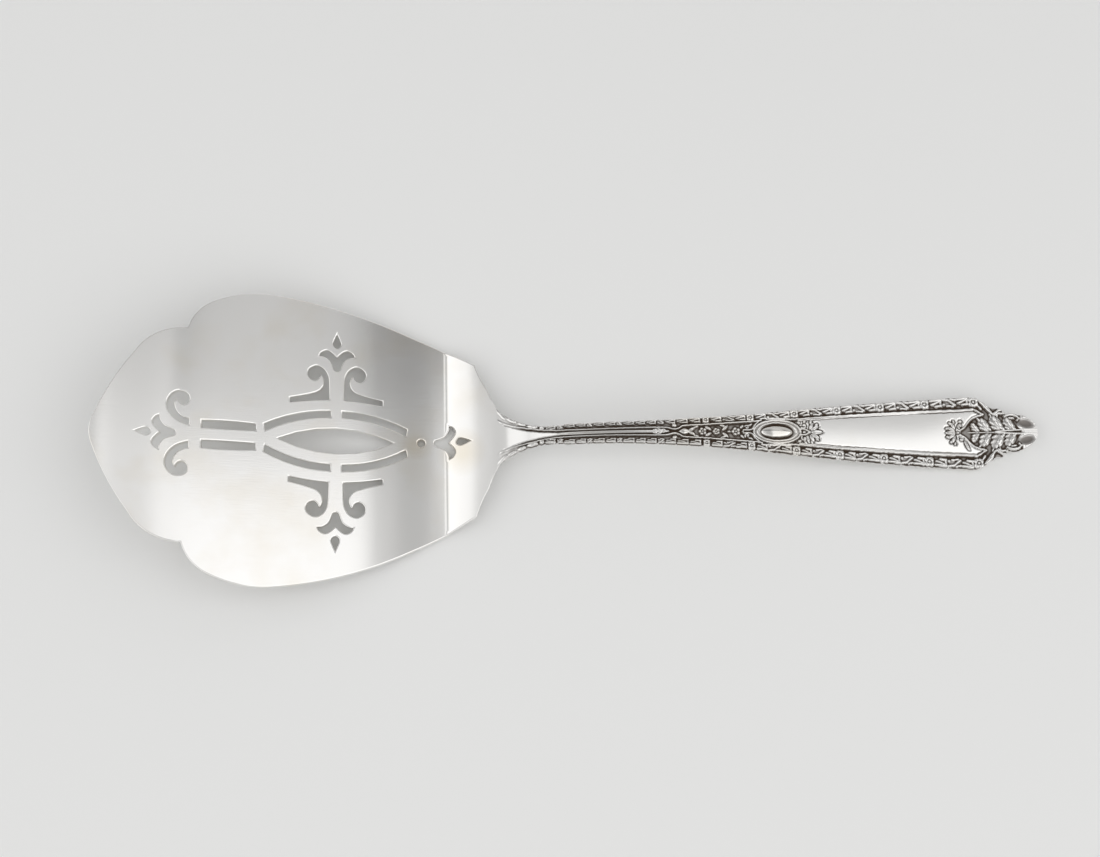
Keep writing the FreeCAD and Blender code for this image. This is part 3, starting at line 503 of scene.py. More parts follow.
def neck_flowers(relief):
    """Husk, blossoms and leaves in the field between the neck and the boss."""
    for spot, turn in (((28.4, 0.27), 10), ((29.2, 0.3), -20)):
        relief.pair(relief.leaf, spot, turn, 0.5, 0.16, 0.36)
    relief.ring((29.75, 0.05), 0.34, 0.26, 0.12)
    relief.dome((30.55, 0), 0, 0.22, 0.18)
    relief.pair(relief.dome, (31.65, 1.02), 0, 0.42, 0.3, 0.36)
    relief.leaf((33.3, 0), 0, 0.95, 0.5, 0.4, 0.15)
    relief.pair(relief.leaf, (34.5, 0.34), 25, 0.62, 0.28)
    relief.pair(relief.leaf, (37.25, 0.52), -30, 0.62, 0.26)
    relief.pair(relief.leaf, (35.2, 0.75), 12, 0.5, 0.15, 0.32)
    relief.pair(relief.leaf, (40.1, 0.62), 40, 0.68, 0.26)
    relief.pair(relief.leaf, (39.7, 0.98), -12, 0.5, 0.18, 0.34)
    relief.pair(relief.leaf, (42.9, 0.85), 50, 0.42, 0.2, 0.38)
    for station, radius in ((36.3, 0.68), (38.6, 0.62), (41.9, 0.74)):
        for petal in range(5):
            angle = 36 + 72 * petal
            spot = (station + 0.68 * radius * math.cos(math.radians(angle)),
                    0.68 * radius * math.sin(math.radians(angle)))
            relief.dome(spot, angle, 0.36 * radius, 0.42 * radius)
        relief.dome((station, 0), 0, 0.24 * radius, 0.24 * radius)
    relief.dome((40.75, 0), 0, 0.3, 0.2, 0.36)
    relief.dome((43.05, 0), 0, 0.17, 0.15)
    relief.lines([(43.2, 0.27), (44.2, 0.28), (44.75, 0.55), (45.1, 1.15), (45.8, 1.82)],
                 0.14)
    relief.pair(relief.curl, (43.75, 0.72), 150, 0.4, -290, 0.1, 0.36)
    relief.pair(relief.leaf, (44.35, 1.2), 25, 0.45, 0.16, 0.32)


def boss(relief):
    """Oval cabochon in its frames."""
    centre = (BOSS, 0)
    relief.ring(centre, 3.93, 1.98, 0.19)
    relief.ring(centre, 3.3, 1.55, 0.13, 0.38)
    rows = relief.rows(44, 54)
    u, v = relief.local(rows, centre, 0)
    bowl = np.sqrt((u / 3.95) ** 2 + (v / 2.0) ** 2)
    relief.lift(rows, 0.2 * np.clip(12 * (1 - bowl), 0, 1) * np.clip(8 * (bowl - 0.66), 0, 1))
    relief.dome((48.75, 0), 0, 2.65, 1.02, 0.66)
    band = np.clip(1 - (np.abs(u) / 2.6) ** 4, 0, 1) * np.exp(-((np.abs(v) - 2.28) / 0.24) ** 4)
    relief.lift(rows, 0.34 * band)


def spray(relief):
    """Leaves that spread from the boss over the panel, and the palmette at its other end."""
    relief.lines([(52.6, 0.5), (53.3, 0.5), (53.8, 0.36), (54.1, 0.15)], 0.16)
    relief.pair(relief.curl, (53.35, 1.1), 215, 0.5, 260, 0.15)
    relief.pair(relief.dome, (52.55, 1.6), 0, 0.34, 0.28)
    relief.pair(relief.dome, (53.55, 1.85), 60, 0.36, 0.24)
    relief.dome((54.3, 0), 0, 0.26, 0.26, 0.46)
    relief.leaf((55.55, 0), 0, 1.1, 0.42, 0.46, 0.4)
    relief.pair(relief.leaf, (55.25, 0.72), 30, 0.85, 0.34, 0.44, 0.4)
    relief.pair(relief.leaf, (54.65, 1.05), 62, 0.75, 0.3, 0.44, 0.4)
    relief.pair(relief.dome, (55.55, 1.3), 30, 0.34, 0.22)
    relief.pair(relief.dome, (54.6, 1.8), 70, 0.4, 0.22)
    relief.dome((79.6, 0), 0, 0.24, 0.24, 0.48)
    relief.leaf((78.35, 0), 180, 1.0, 0.36, 0.46, 0.4)
    relief.pair(relief.leaf, (78.5, 0.6), 150, 0.85, 0.3, 0.46, 0.4)
    relief.pair(relief.leaf, (78.8, 1.2), 120, 0.8, 0.3, 0.46, 0.4)
    relief.pair(relief.dome, (77.75, 0.72), 150, 0.28, 0.24, 0.44)
    relief.pair(relief.dome, (78.35, 1.62), 130, 0.34, 0.26, 0.44)
    relief.pair(relief.dome, (79.0, 1.95), 105, 0.36, 0.2, 0.44)
    relief.pair(relief.curl, (80.05, 1.15), 250, 0.42, -290, 0.13, 0.44)
    relief.dome((80.15, 1.95), 0, 0.34, 0.3, 0.44)
    relief.leaf((80.95, -2.3), -68, 1.1, 0.28, 0.44, 0.5)


def acanthus(relief):
    """Plump leaves of the end, whose tips turn back towards the panel."""
    leaflets = ((0.05, 1.3, 126, 0.8, 0.44), (-0.5, 2.1, 112, 0.55, 0.3),
                (-0.7, 0.62, 152, 0.56, 0.26), (-1.0, 1.4, 142, 0.5, 0.26),
                (0.55, 0.5, 140, 0.55, 0.28))
    for middle, size in ((82.7, 0.62), (84.4, 0.95), (86.55, 1.1), (88.65, 0.94)):
        relief.pair(relief.dome, (middle - 0.2 * size, 0.1 + 1.25 * size), 124,
                    1.5 * size, 0.85 * size, 0.27)
        for ahead, across, turn, long, wide in leaflets:
            relief.pair(relief.dome, (middle + ahead * size, 0.1 + across * size), turn,
                        long * size, wide * size, 0.46)
    for station, across, turn in ((83.25, 2.3, 128), (85.35, 2.95, 118), (86.5, 3.0, 95)):
        relief.pair(relief.dome, (station, across), turn, 0.4, 0.18, 0.4)
    relief.line([(81.4, 0.0), (86.4, 0.0)], 0.09, 0.26)
    relief.lines([(86.0, 0.08), (88, 0.22), (90.5, 0.34), (92.9, 0.42)], 0.17, 0.44)
    relief.pair(relief.leaf, (84.55, 4.75), -44, 1.35, 0.34, 0.46, 0.0)
    relief.pair(relief.leaf, (85.0, 4.05), -47, 1.55, 0.32, 0.44, 0.0)
    relief.pair(relief.dome, (83.7, 4.4), -55, 0.6, 0.24, 0.38)
    relief.lines([(86.0, 3.3), (86.8, 3.75), (87.5, 4.05)], 0.24, 0.44)
    relief.lines([(86.2, 3.1), (87.1, 3.3), (87.7, 3.3)], 0.22, 0.44)
    relief.lines([(87.75, 2.75), (88.7, 2.98), (89.6, 2.82), (90.15, 2.4)], 0.24, 0.46)
    relief.pair(relief.dome, (88.9, 2.4), -8, 0.6, 0.2)
    relief.pair(relief.dome, (89.85, 2.05), 60, 0.26, 0.2)


def hollows(station, across):
    """How deep each point lies in the two oval hollows of the cap, 0 to 1."""
    x, y = station - 91.15, np.abs(across) - 1.42
    u, v = 0.97 * x - 0.24 * y, 0.24 * x + 0.97 * y
    return np.sqrt(np.clip(1 - (u / 1.6) ** 2 - (v / 0.84) ** 2, 0, 1))


def cap(relief):
    """Smooth rounded cap of the end, with an oval hollow on each side of its stem."""
    rows = relief.rows(88.6, END)
    x, y = relief.x[rows], np.abs(relief.y[rows])
    start = np.clip((x - 89.7 - 0.35 * np.abs(y - 1.3)) / 0.6, 0, 1)
    relief.lift(rows, start * (RELIEF_DEPTH - 0.4 * hollows(x, y)))


def panel_level(station, across):
    """How far the plain panel and the plain trough are raised out of the ground, 0 to 1."""
    inner = along(RIB_LINE, station)
    across = np.abs(across)
    ogee = along(PANEL_OGEE, station)
    boss_edge = BOSS + 4.25 * np.sqrt(np.clip(1 - (across / 2.4) ** 2, 0, 1))
    start = np.maximum(52.0, boss_edge)
    panel = (np.clip((station - start) / 0.35, 0, 1) * np.clip((inner - 0.3 - across) / 0.25, 0, 1)
             * np.where(station > 80.0, np.clip((across - ogee) / 0.3, 0, 1), 1))
    corner = PANEL_CORNER[1] - (station - PANEL_CORNER[0]) * 0.62
    panel_end = np.clip((corner - 0.3 - across) / 0.3, 0, 1) * (station < PANEL_POINT[0])
    panel = np.where(station > 82.4, np.minimum(panel, panel_end), panel)
    trough = np.clip((along(TROUGH_LINE, station) - across) / 0.25 + 0.5, 0, 1)
    root = np.clip((2.7 - station) / 0.8, 0, 1)
    return panel, np.maximum(trough, root)


# Even grid on which the depth between the ornament is found
GRID_START, GRID_STEP = (1.4, -6.7), 0.1
GRID_SIZE = (920, 135)


def softened(values, reach):
    """Values of the even grid averaged over a reach given in steps of the grid."""
    steps = np.arange(-int(3 * reach), int(3 * reach) + 1)
    weights = np.exp(-0.5 * (steps / reach) ** 2)
    weights /= weights.sum()
    for _ in range(2):
        padded = np.pad(values, ((0, 0), (len(steps) // 2, len(steps) // 2)), mode="edge")
        values = sum(weight * padded[:, k:k + values.shape[1]]
                     for k, weight in enumerate(weights)).T
    return values


def sampled(values, station, across):
    """Values of the even grid at any points."""
    x = np.clip((station - GRID_START[0]) / GRID_STEP, 0, GRID_SIZE[0] - 1.001)
    y = np.clip((across - GRID_START[1]) / GRID_STEP, 0, GRID_SIZE[1] - 1.001)
    i, j = x.astype(int), y.astype(int)
    x, y = x - i, y - j
    return ((values[i, j] * (1 - y) + values[i, j + 1] * y) * (1 - x)
            + (values[i + 1, j] * (1 - y) + values[i + 1, j + 1] * y) * x)


def ornament(station, across):
    """Heights over the ground of all the ornament, and of the sprays on the panel alone."""
    relief, sprays = Relief(station, across), Relief(station, across)
    for side in (1, -1):
        border(relief, side)
    ribs(relief)
    neck_flowers(relief)
    boss(relief)
    acanthus(relief)
    cap(relief)
    spray(sprays)
    return np.maximum(relief.height, sprays.height), sprays.height


# Levels over the sunk ground: the panel, the tallest leaves, and how far the trough dips
PANEL_RISE, CREST, TROUGH_DIP = 0.3, 0.46, 0.16
# Depth under the softened relief at which a crevice is fully dark with patina and painted shade
CREVICE = 0.13
# Reach, in steps of the even grid, of the clearing round a spray and of the depth
CLEARING_REACH, DEPTH_REACH = 1.4, 2.2
# How strong the patina and the painted shade of the recesses are from the root to the boss
OXIDE_AND_SHADE_ALONG = ((2, 0.55), (12, 0.75), (30, 0.85), (46, 1.05))


def eased(share):
    """A share held between 0 and 1 that starts and ends gently."""
    share = np.clip(share, 0, 1)
    return share ** 2 * (3 - 2 * share)


def root_level(station):
    """How far the sunk ground rises towards the blade."""
    return RELIEF_DEPTH * eased((8 - station) / 6)


def root_fade(station):
    """Share of the ornament that is left next to the blade."""
    return np.clip(station - 2.1, 0, 1)


def raised_level(station, across, ornament_height, clearing):
    """Heights over the ground with the panel and the trough, and how plain each point is."""
    panel, trough = panel_level(station, across)
    panel = panel * (1 - np.clip((clearing - 0.08) / 0.2, 0, 1))
    dip = TROUGH_DIP * trough * eased((station - CUT_STATION) / 6)
    plain = np.maximum(panel * PANEL_RISE, trough * RELIEF_DEPTH) - dip
    base = root_level(station)
    struck = base + (1 - base / CREST) * ornament_height * root_fade(station)
    return np.maximum(plain, struck), np.maximum(panel, trough)


def handle_relief(station, across):
    """Height under the upper face of the whole handle, and how dark with patina and painted shade
    each point is.
    """
    even = np.meshgrid(*(start + GRID_STEP * np.arange(count)
                         for start, count in zip(GRID_START, GRID_SIZE)), indexing="ij")
    height, spray_height = ornament(*even)
    clearing = softened((spray_height > 0.05).astype(float), CLEARING_REACH)
    soft = softened(raised_level(*even, height, clearing)[0], DEPTH_REACH)
    height = ornament(station, across)[0]
    raised, plain = raised_level(station, across, height, sampled(clearing, station, across))
    # Crevices under the softened relief and the low sunk ground get patina and painted shade, such
    # as the shadow line where the panel meets a rib
    crevice = CREVICE - 0.22 * root_level(station)
    deep = np.clip((sampled(soft, station, across) - raised) / crevice, 0, 1)
    ground = np.clip(1 - raised / 0.16, 0, 1) * (1 - plain)
    oxide_and_shade = 0.12 * (1 - plain) + along(OXIDE_AND_SHADE_ALONG, station) * (0.5 * ground + 0.9 * deep)
    oxide_and_shade = np.maximum(np.clip(oxide_and_shade, 0, 1),
                        np.clip(1.2 * hollows(station, across) - 0.2, 0, 0.8))
    return raised - RELIEF_DEPTH, oxide_and_shade * root_fade(station)


# Places in the shared frame

SHIFT = NODE_BOX[1][0] / MM - END
WELD = 1e-4


def set_points(mesh, station, across, height):
    """Moves the vertices of a mesh to places given in plan millimetres."""
    points = np.empty((len(mesh.vertices), 3))
    points[:, 0] = (np.ravel(station) + SHIFT) * MM
    points[:, 1] = np.ravel(across) * MM
    points[:, 2] = np.ravel(height) * MM
    mesh.vertices.foreach_set("co", points.ravel())
    mesh.update()


def get_points(mesh):
    """Vertices of a mesh as columns of x, y and z."""
    points = np.empty(len(mesh.vertices) * 3)
    mesh.vertices.foreach_get("co", points)
    return points.reshape(-1, 3).T


def add_oxide_and_shade(mesh, values):
    """Stores how dark each point is made, for the patina and the painted shade of the recesses."""
    mesh.attributes.new("oxide_and_shade", "FLOAT", "POINT").data.foreach_set("value", values)


def add_piece(name, mesh, material):
    """Links a finished mesh as a piece of the server."""
    piece = bpy.data.objects.new(name, mesh)
    bpy.context.collection.objects.link(piece)
    mesh.materials.clear()
    mesh.materials.append(material)
    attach(piece, "root")
    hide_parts("server")
    return piece


# Blade

# Distance between the cuts that let the sheet bend
SHEET_SPACING = 1.0


def blade_sheet(gauge, rounding):
    """Flat pierced sheet in plan millimetres, with rounded edges, as a mesh."""
    rim = [(x, y) for x, y in RIM if x < CUT_STATION + 2.5]
    outline = rim + [(x, -y) for x, y in rim[::-1]][:-1]
    curve = bpy.data.curves.new("blade_plan", "CURVE")
    curve.dimensions = "2D"
    curve.fill_mode = "BOTH"
    curve.extrude = gauge / 2 - rounding
    curve.bevel_depth = rounding
    curve.bevel_resolution = 3
    curve.offset = -rounding
    for loop in [outline] + all_openings():
        points = [tuple(point) for point in loop]
        if math.dist(points[0], points[-1]) < 1e-6:
            points = points[:-1]
        spline = curve.splines.new("POLY")
        spline.points.add(len(points) - 1)
        spline.points.foreach_set("co", [value for point in points
                                         for value in (point[0], point[1], 0, 1)])
        spline.use_cyclic_u = True
    holder = bpy.data.objects.new("blade_plan", curve)
    mesh = bpy.data.meshes.new_from_object(holder)
    bpy.data.objects.remove(holder)
    bpy.data.curves.remove(curve)
    return mesh


def cut_sheet(mesh, spacing):
    """Closes the sheet, cuts its root end square and divides it so that it can bend."""
    bm = bmesh.new()
    bm.from_mesh(mesh)
    bmesh.ops.remove_doubles(bm, verts=bm.verts, dist=WELD)
    cut = bmesh.ops.bisect_plane(bm, geom=bm.verts[:] + bm.edges[:] + bm.faces[:], dist=1e-5,
                                 plane_co=(CUT_STATION, 0, 0), plane_no=(1, 0, 0),
                                 clear_outer=True)
    rim = [item for item in cut["geom_cut"] if isinstance(item, bmesh.types.BMEdge)]
    bmesh.ops.triangle_fill(bm, edges=rim, use_beauty=True)
    for normal, low, high in (((1, 0, 0), -62.5, 1.4), ((0, 1, 0), -24.5, 24.5)):
        for level in np.arange(low, high, spacing):
            bmesh.ops.bisect_plane(bm, geom=bm.verts[:] + bm.edges[:] + bm.faces[:], dist=WELD,
                                   plane_co=Vector(normal) * float(level), plane_no=normal)
    bmesh.ops.remove_doubles(bm, verts=bm.verts, dist=WELD)
    bmesh.ops.recalc_face_normals(bm, faces=bm.faces)
    bm.to_mesh(mesh)
    bm.free()


def bend_sheet(mesh, gauge):
    """Bends the flat sheet to the profile of the blade, with clean normals on its faces."""
    mesh.shade_smooth()
    x, y, z = get_points(mesh)
    flat_normals = np.array([tuple(vertex.normal) for vertex in mesh.vertices])
    step = 0.01
    slope_x = (upper_face(x + step, y) - upper_face(x - step, y)) / (2 * step)
    slope_y = (upper_face(x, y + step) - upper_face(x, y - step)) / (2 * step)
    face = np.abs(z) > gauge / 2 - 1e-4
    normals = np.where(face[:, None], np.c_[0 * x, 0 * y, np.sign(z)], flat_normals)
    tilted = np.c_[normals[:, 0] - slope_x * normals[:, 2], normals[:, 1] - slope_y * normals[:, 2],
                   normals[:, 2]]
    tilted /= np.linalg.norm(tilted, axis=1)[:, None]
    set_points(mesh, x, y, upper_face(x, y) - gauge / 2 + z)
    mesh.normals_split_custom_set_from_vertices(tilted.tolist())
    add_oxide_and_shade(mesh, np.zeros(len(x)))


# Handle

def handle_stations():
    """Cross sections of the handle, closer together where the ornament is finer."""
    spans = ((CUT_STATION, 28, 0.14), (28, 57, 0.108), (57, 77, 0.125), (77, 92.3, 0.085))
    stations = [np.arange(low, high - 0.4 * step, step) for low, high, step in spans]
    round_end = END - 0.75 * (1 - np.sin(np.linspace(0, math.pi / 2, 18)))
    return np.concatenate(stations + [round_end])


# Steps over the upper face, down each wall and over half of the underside
TOP_STEPS, WALL_STEPS, UNDER_STEPS = 104, 3, 4
COLUMNS = TOP_STEPS + 2 * (WALL_STEPS + UNDER_STEPS)
# Column of the upper face that runs along the middle of a border
BORDER_COLUMN = 5


def section_half(stations):
    """Half width of each cross section, which the last one keeps a little of."""
    return np.maximum(half_width(stations), 0.02)


def column_shares(stations, half):
    """Where the columns of the upper face run, so that they follow the ribs and borders."""
    steps = np.arange(TOP_STEPS // 2 + 1)
    rib, band = along(RIB_LINE, stations) / half, 1 - along(BORDER_WIDTH, stations) / half
    shares = []
    for station, inner, outer in zip(stations, rib, band):
        neck = np.interp(steps, (0, 18, 28, steps[-1]), (0, inner, outer, 1))
        panel = np.interp(steps, (0, 33, 37, steps[-1]), (0, inner, outer, 1))
        to_panel = np.clip((station - 30) / 16, 0, 1)
        to_end = np.clip((station - 82.8) / 1.6, 0, 1)
        mixed = neck + (panel - neck) * to_panel
        shares.append(mixed + (steps / steps[-1] - mixed) * to_end)
    shares = np.array(shares)
    return np.hstack([shares[:, :0:-1], -shares])


def border_swell(stations, height, depth):
    """How far the leaves of the border stand out beyond the plain edge."""
    edge = height[:, BORDER_COLUMN] + height[:, -1 - BORDER_COLUMN]
    reach = 0.12 * np.clip((stations - 3) / 4, 0, 1) * np.clip((92.6 - stations) / 2, 0, 1)
    return (edge / (2 * depth) + 0.2) * reach


def upper_skin(stations, depth):
    """Ornamented upper face: half width, distance across, height, and patina with painted shade."""
    grid = np.repeat(stations[:, None], TOP_STEPS + 1, 1)
    half = section_half(stations)
    shares = column_shares(stations, half)
    height, oxide_and_shade = handle_relief(grid, shares * half[:, None])
    height = height * (depth / RELIEF_DEPTH)
    rounding = EDGE_ROUNDING * np.clip(half / 1.5, 0.1, 1)[:, None]
    half = (half + border_swell(stations, height, depth))[:, None]
    across = shares * half
    near = np.clip((np.abs(across) - half + rounding) / rounding, 0, 1)
    top = upper_face(grid, across) + height - rounding * (1 - np.sqrt(1 - 0.96 * near ** 2))
    return half, across, top, oxide_and_shade


def under_level(stations, top):
    """Height of the underside, which runs into that of the blade at the root."""
    share = np.interp(stations, (2, 4), (0, 1))
    blade = upper_face(stations, 0) - GAUGE
    level = share * hermite(NECK_UNDER, stations) + (1 - share) * blade
    return np.minimum(level, top.min(1) - 0.3)[:, None]


def handle_sections(stations, depth):
    """Distance across, height, and patina with painted shade round each cross section, from the
    seam below.
    """
    half, across, top, oxide_and_shade = upper_skin(stations, depth)
    low = under_level(stations, top)
    wall = np.linspace(0, 1, WALL_STEPS + 1)[1:]
    inset = 0.3 * np.clip(section_half(stations) / 1.5, 0.05, 1)[:, None]
    side = half - inset * np.clip(2 * wall - 1, 0, 1) ** 2
    belly = side[:, -1:] * np.linspace(1, 0, UNDER_STEPS + 1)[1:]
    left, right = (top[:, [end]] + (low - top[:, [end]]) * wall for end in (0, -1))
    flat = np.repeat(low, UNDER_STEPS, 1)
    plain = np.zeros((len(stations), WALL_STEPS + UNDER_STEPS))
    return (np.hstack([belly[:, ::-1], side[:, ::-1], across, -side, -belly]),
            np.hstack([flat, left[:, ::-1], top, right, flat]),
            np.hstack([plain, oxide_and_shade, plain]))


def handle_skin(depth):
    """Tube of cross sections: ornamented top, rounded walls and plain underside."""
    stations = handle_stations()
    bm = bmesh.new()
    bmesh.ops.create_grid(bm, x_segments=COLUMNS, y_segments=len(stations) - 1, size=0.5)
    mesh = bpy.data.meshes.new("handle")
    bm.to_mesh(mesh)
    bm.free()
    x, y, _ = get_points(mesh)
    column = np.rint((x + 0.5) * COLUMNS).astype(int)
    row = np.rint((y + 0.5) * (len(stations) - 1)).astype(int)
    across, height, oxide_and_shade = handle_sections(stations, depth)
    set_points(mesh, stations[row], across[row, column], height[row, column])
    add_oxide_and_shade(mesh, oxide_and_shade[row, column])
    return mesh


def close_skin(mesh):
    """Welds the seam under the handle and closes both ends."""
    bm = bmesh.new()
    bm.from_mesh(mesh)
    seam = [vertex for vertex in bm.verts if vertex.is_boundary]
    bmesh.ops.remove_doubles(bm, verts=seam, dist=WELD * MM * 2)
    bmesh.ops.holes_fill(bm, edges=[edge for edge in bm.edges if edge.is_boundary], sides=0)
    bmesh.ops.recalc_face_normals(bm, faces=bm.faces)
    for face in bm.faces:
        face.smooth = len(face.verts) < 8
    start = min(vertex.co.x for vertex in bm.verts)
    for edge in bm.edges:
        if all(vertex.co.x < start + 1e-6 for vertex in edge.verts):
            edge.smooth = False
    bm.to_mesh(mesh)
    bm.free()


# Silver

def new_group(name, inputs, outputs):
    """Empty shader node group with named sockets, given as (name, kind, default)."""
    group = bpy.data.node_groups.new(name, "ShaderNodeTree")
    for label, kind, default in inputs:
        socket = group.interface.new_socket(label, in_out="INPUT", socket_type=kind)
        socket.default_value = default
    for label, kind in outputs:
        group.interface.new_socket(label, in_out="OUTPUT", socket_type=kind)
    return group, group.nodes.new("NodeGroupInput"), group.nodes.new("NodeGroupOutput")


def node(tree, kind, links=(), **values):
    """New node with its inputs and settings filled in."""
    made = tree.nodes.new(kind)
    for key, value in values.items():
        if key.startswith("in_"):
            made.inputs[int(key[3:])].default_value = value
        else:
            setattr(made, key, value)
    for source, target in links:
        tree.links.new(source, made.inputs[target])
    return made


# Warm stains round the openings next to the throat: place in the shared frame, and reach
STAINS = (((-18.7, -1.8, 2.2), 4.5), ((-26.5, -0.5, 1.5), 3.5))


def silver_skin():
    """Group for worn silver: tarnish tint, patina with painted shade in the recesses, fine
    scratches.
    """
    group, start, end = new_group(
        "silver_skin",
        (("Silver", "NodeSocketColor", (0.9, 0.89, 0.87, 1)),
         ("Oxide and shade colour", "NodeSocketColor", (0.05, 0.04, 0.03, 1)),
         ("Oxide and shade", "NodeSocketFloat", 0.0), ("Roughness", "NodeSocketFloat", 0.2),
         ("Tarnish", "NodeSocketFloat", 0.3)),
        (("Color", "NodeSocketColor"), ("Roughness", "NodeSocketFloat"),
         ("Height", "NodeSocketFloat")))
    place = node(group, "ShaderNodeTexCoord").outputs["Object"]
    cloud = node(group, "ShaderNodeTexNoise", [(place, "Vector")], in_2=90.0, in_3=4.0)
    stain = node(group, "ShaderNodeMapRange", [(cloud.outputs["Fac"], "Value")],
                 in_1=0.5, in_2=0.75, in_3=0.0, in_4=1.0)
    amount = node(group, "ShaderNodeMath", [(stain.outputs["Result"], 0),
                                            (start.outputs["Tarnish"], 1)], operation="MULTIPLY")
    for spot, reach in STAINS:
        away = node(group, "ShaderNodeVectorMath", [(place, 0)], operation="DISTANCE",
                    in_1=[size * MM for size in spot])
        near = node(group, "ShaderNodeMapRange", [(away.outputs["Value"], "Value")],
                    in_1=0.2 * reach * MM, in_2=reach * MM, in_3=0.65, in_4=0.0)
        amount = node(group, "ShaderNodeMath", [(amount.outputs[0], 0),
                                                (near.outputs["Result"], 1)], operation="MAXIMUM")
    tint = node(group, "ShaderNodeMix", [(amount.outputs[0], "Factor"),
                                         (start.outputs["Silver"], 6)],
                data_type="RGBA", blend_type="MULTIPLY", in_7=(0.86, 0.79, 0.66, 1))
    # Mixes in the dark colour by the recess value, which stands for real patina and painted shade
    mixed = node(group, "ShaderNodeMix", [(start.outputs["Oxide and shade"], "Factor"),
                                          (tint.outputs[2], 6), (start.outputs["Oxide and shade colour"], 7)],
                 data_type="RGBA")
    squeeze = node(group, "ShaderNodeMapping", [(place, "Vector")])
    squeeze.inputs["Scale"].default_value = (350.0, 6000.0, 350.0)
    squeeze.inputs["Rotation"].default_value = (0.0, 0.0, 0.5)
    hair = node(group, "ShaderNodeTexNoise", [(squeeze.outputs["Vector"], "Vector")],
                in_2=1.0, in_3=2.0)
    rubbed = node(group, "ShaderNodeMath", [(hair.outputs["Fac"], 0), (cloud.outputs["Fac"], 1)],
                  operation="MULTIPLY")
    spread = node(group, "ShaderNodeMath", [(rubbed.outputs[0], 0),
                                            (start.outputs["Roughness"], 2)],
                  operation="MULTIPLY_ADD", in_1=0.05)
    rough = node(group, "ShaderNodeMath", [(start.outputs["Oxide and shade"], 0), (spread.outputs[0], 2)],
                 operation="MULTIPLY_ADD", in_1=0.5)
    group.links.new(mixed.outputs[2], end.inputs["Color"])
    group.links.new(rough.outputs[0], end.inputs["Roughness"])
    group.links.new(hair.outputs["Fac"], end.inputs["Height"])
    return group


def silver_material(name, group, colour, oxide_shade_colour, rough, tarnish, scratch):
    """Worn silver. An attribute says where the ornament keeps its patina and painted shade."""
    material = bpy.data.materials.new(name)
    material.use_nodes = True
    tree = material.node_tree
    shader = tree.nodes["Principled BSDF"]
    shader.inputs["Metallic"].default_value = 1.0
    oxide_and_shade = node(tree, "ShaderNodeAttribute", attribute_name="oxide_and_shade")
    skin = node(tree, "ShaderNodeGroup", node_tree=group)
    tree.links.new(oxide_and_shade.outputs["Fac"], skin.inputs["Oxide and shade"])
    skin.inputs["Silver"].default_value = (*colour, 1)
    skin.inputs["Oxide and shade colour"].default_value = (*oxide_shade_colour, 1)
    skin.inputs["Roughness"].default_value = rough
    skin.inputs["Tarnish"].default_value = tarnish
    bump = node(tree, "ShaderNodeBump", [(skin.outputs["Height"], "Height")])
    bump.inputs["Strength"].default_value = scratch
    bump.inputs["Distance"].default_value = 0.00002
    tree.links.new(skin.outputs["Color"], shader.inputs["Base Color"])
    tree.links.new(skin.outputs["Roughness"], shader.inputs["Roughness"])
    tree.links.new(bump.outputs["Normal"], shader.inputs["Normal"])
    return material


def shared_silver(name):
    """One of the two silver finishes, made the first time that it is asked for."""
    if name in bpy.data.materials:
        return bpy.data.materials[name]
    finish = bpy.context.scene.server_silver
    group = bpy.data.node_groups.get("silver_skin") or silver_skin()
    rough, scratch = {"satin_silver": (finish.blade_roughness, 0.06),
                      "struck_silver": (finish.handle_roughness, 0.006)}[name]
    return silver_material(name, group, finish.colour, finish.oxide_shade_colour, rough, finish.tarnish,
                           scratch)


# Settings

class ServerBladeSettings(bpy.types.PropertyGroup):
    gauge: bpy.props.FloatProperty(
        name="Gauge", description="Thickness of the pierced blade", default=GAUGE * MM,
        min=0.5 * MM, max=3 * MM, unit="LENGTH", precision=5)
    rounding: bpy.props.FloatProperty(
        name="Edge rounding", description="Radius worn onto the edges of the blade",
        default=EDGE_ROUNDING * MM, min=0.05 * MM, max=0.5 * MM, unit="LENGTH", precision=5)


class ServerHandleSettings(bpy.types.PropertyGroup):
    depth: bpy.props.FloatProperty(
        name="Relief depth", description="Height of the struck ornament over its ground",
        default=RELIEF_DEPTH * MM, min=0.1 * MM, max=0.8 * MM, unit="LENGTH", precision=5)


class ServerSilverSettings(bpy.types.PropertyGroup):
    colour: bpy.props.FloatVectorProperty(
        name="Silver", description="Colour of the clean metal", default=(0.94, 0.93, 0.91),
        min=0, max=1, subtype="COLOR")
    # This dark colour is both the oxide and the shade painted into the handle's crevices and low
    # ground
    oxide_shade_colour: bpy.props.FloatVectorProperty(
        name="Oxide and shade colour", description="Colour of the oxide in the recesses",
        default=(0.07, 0.05, 0.036), min=0, max=1, subtype="COLOR")
    blade_roughness: bpy.props.FloatProperty(
        name="Blade roughness", description="How satin the blade is", default=0.115, min=0, max=1,
        subtype="FACTOR")
    handle_roughness: bpy.props.FloatProperty(
        name="Handle roughness", description="How satin the handle is", default=0.06, min=0,
        max=1, subtype="FACTOR")
    tarnish: bpy.props.FloatProperty(
        name="Tarnish", description="Strength of the warm stains", default=0.35, min=0, max=1,
        subtype="FACTOR")


class ServerStageSettings(bpy.types.PropertyGroup):
    floor: bpy.props.FloatVectorProperty(
        name="Floor", description="Colour of the floor", default=(0.9, 0.9, 0.89), min=0, max=1,
        subtype="COLOR")
    key: bpy.props.FloatProperty(
        name="Soft lights", description="Power of the softboxes for each square metre",
        default=3.15, min=0, max=50, unit="POWER")
    room: bpy.props.FloatProperty(
        name="Room light", description="Strength of the even light of the room", default=0.6,
        min=0, max=2)


# Operators

